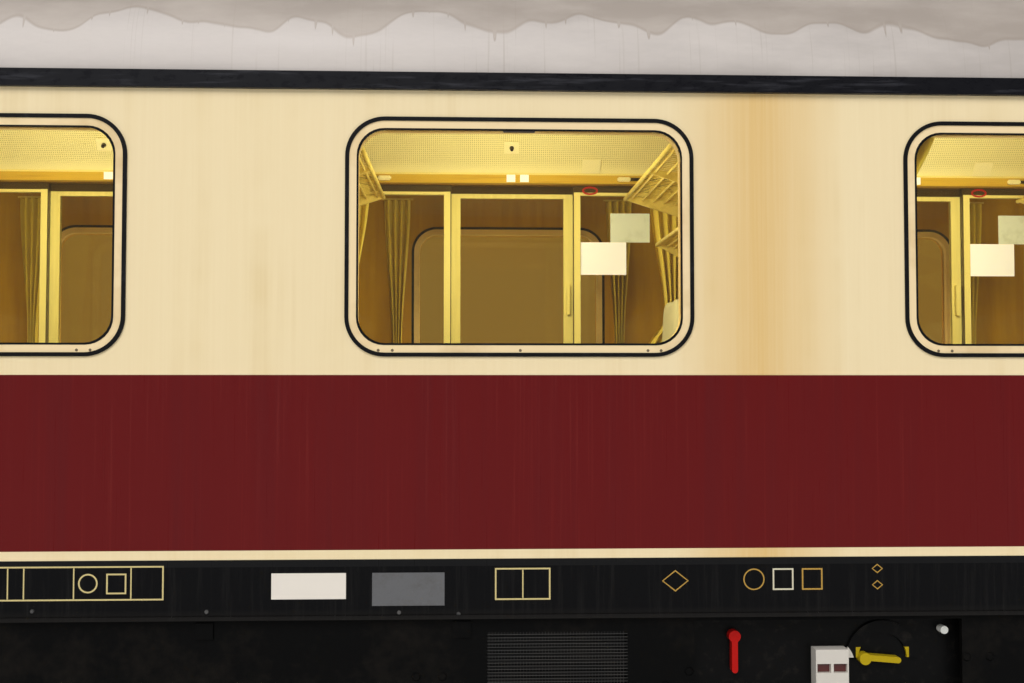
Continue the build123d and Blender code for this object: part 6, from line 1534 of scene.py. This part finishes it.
mesh_wire = dusty("mesh_wire", (0.022, 0.021, 0.02), (0.045, 0.04, 0.034), 0.5, 0.15, 0.4)
grille_left, grille_right, grille_foot, grille_head = (-0.13, 0.43, 0.668, 0.958)
grille_width = grille_right - grille_left
grille_height = grille_head - grille_foot
upright_xs = [grille_left + MESH_PITCH * (i + 0.5) for i in range(int(grille_width / MESH_PITCH))]
level_zs = [grille_foot + MESH_PITCH * (i + 0.5) for i in range(int(grille_height / MESH_PITCH))]
upright_places = [(x, MESH_FACE, (grille_foot + grille_head) / 2, 0) for x in upright_xs]
level_places = [((grille_left + grille_right) / 2, MESH_FACE - 0.001, z, 0) for z in level_zs]
upright_wire = block("upright_wire", (0.0014, 0.001, grille_height))
level_wire = block("level_wire", (grille_width, 0.001, 0.0022))
copies("upright_wires", upright_wire, upright_places, mesh_wire)
copies("level_wires", level_wire, level_places, mesh_wire)

# %% [markdown]
# The white indicator box of the brake has two small windows, which look dark red. Two thin blocks in
# front of its face are enough.

# %% Indicator windows
INDICATOR_FACE = -1.3545
INDICATOR_WINDOW_SHIFT = 0.0335

indicator_red = Finish("indicator_red", (0.075, 0.008, 0.006), 0.3)
indicator_window = block("indicator_window", (0.052, 0.002, 0.032))
indicator_xs = [INDICATOR_X + side * INDICATOR_WINDOW_SHIFT for side in (-1, 1)]
indicator_places = [(x, INDICATOR_FACE, INDICATOR_HEIGHT, 0) for x in indicator_xs]
copies("indicator_windows", indicator_window, indicator_places, indicator_red)

# %% [markdown]
# ## Cabin lamps
# Daylight hardly reaches the far side of the compartments, so each has a soft lamp under its ceiling and
# a weaker one in the corridor behind. A lamp is a point of light with a large soft radius, hidden from
# the camera, so that only what it lights is seen.

# %% Cabin lamps
LAMP_COLOR = (1.0, 0.97, 0.88)


def cabin_lamp(name, place, power, radius):
    lamp = bpy.data.lights.new(name, "POINT")
    lamp.energy = power
    lamp.color = LAMP_COLOR
    lamp.shadow_soft_size = radius
    holder = bpy.data.objects.new(name, lamp)
    holder.location = place
    for ray in ("camera", "transmission", "glossy"):
        setattr(holder, f"visible_{ray}", False)
    bpy.context.scene.collection.objects.link(holder)


for number, x in enumerate(COMPARTMENT_XS, start=1):
    cabin_lamp(f"compartment_lamp_{number}", (x, -0.5, 2.75), 38, 0.25)
    cabin_lamp(f"corridor_lamp_{number}", (x, 0.95, 2.0), 10, 0.15)
print("cabin lamps:", 2 * len(COMPARTMENT_XS))

# %% [markdown]
# ## Sizes
# A last look shows which solids have no finish: only the seats and the curtains, because soft pieces
# stand for them. Then the size of all that is shown is printed. It has to agree with the solids' box,
# because nothing that was added reaches further out.

# %% Sizes and end
bare = [name for name in nodes if name not in finishes]
print("nodes without a finish:", bare)
low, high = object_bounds()
print("size:", [round(v, 3) for v in high - low])
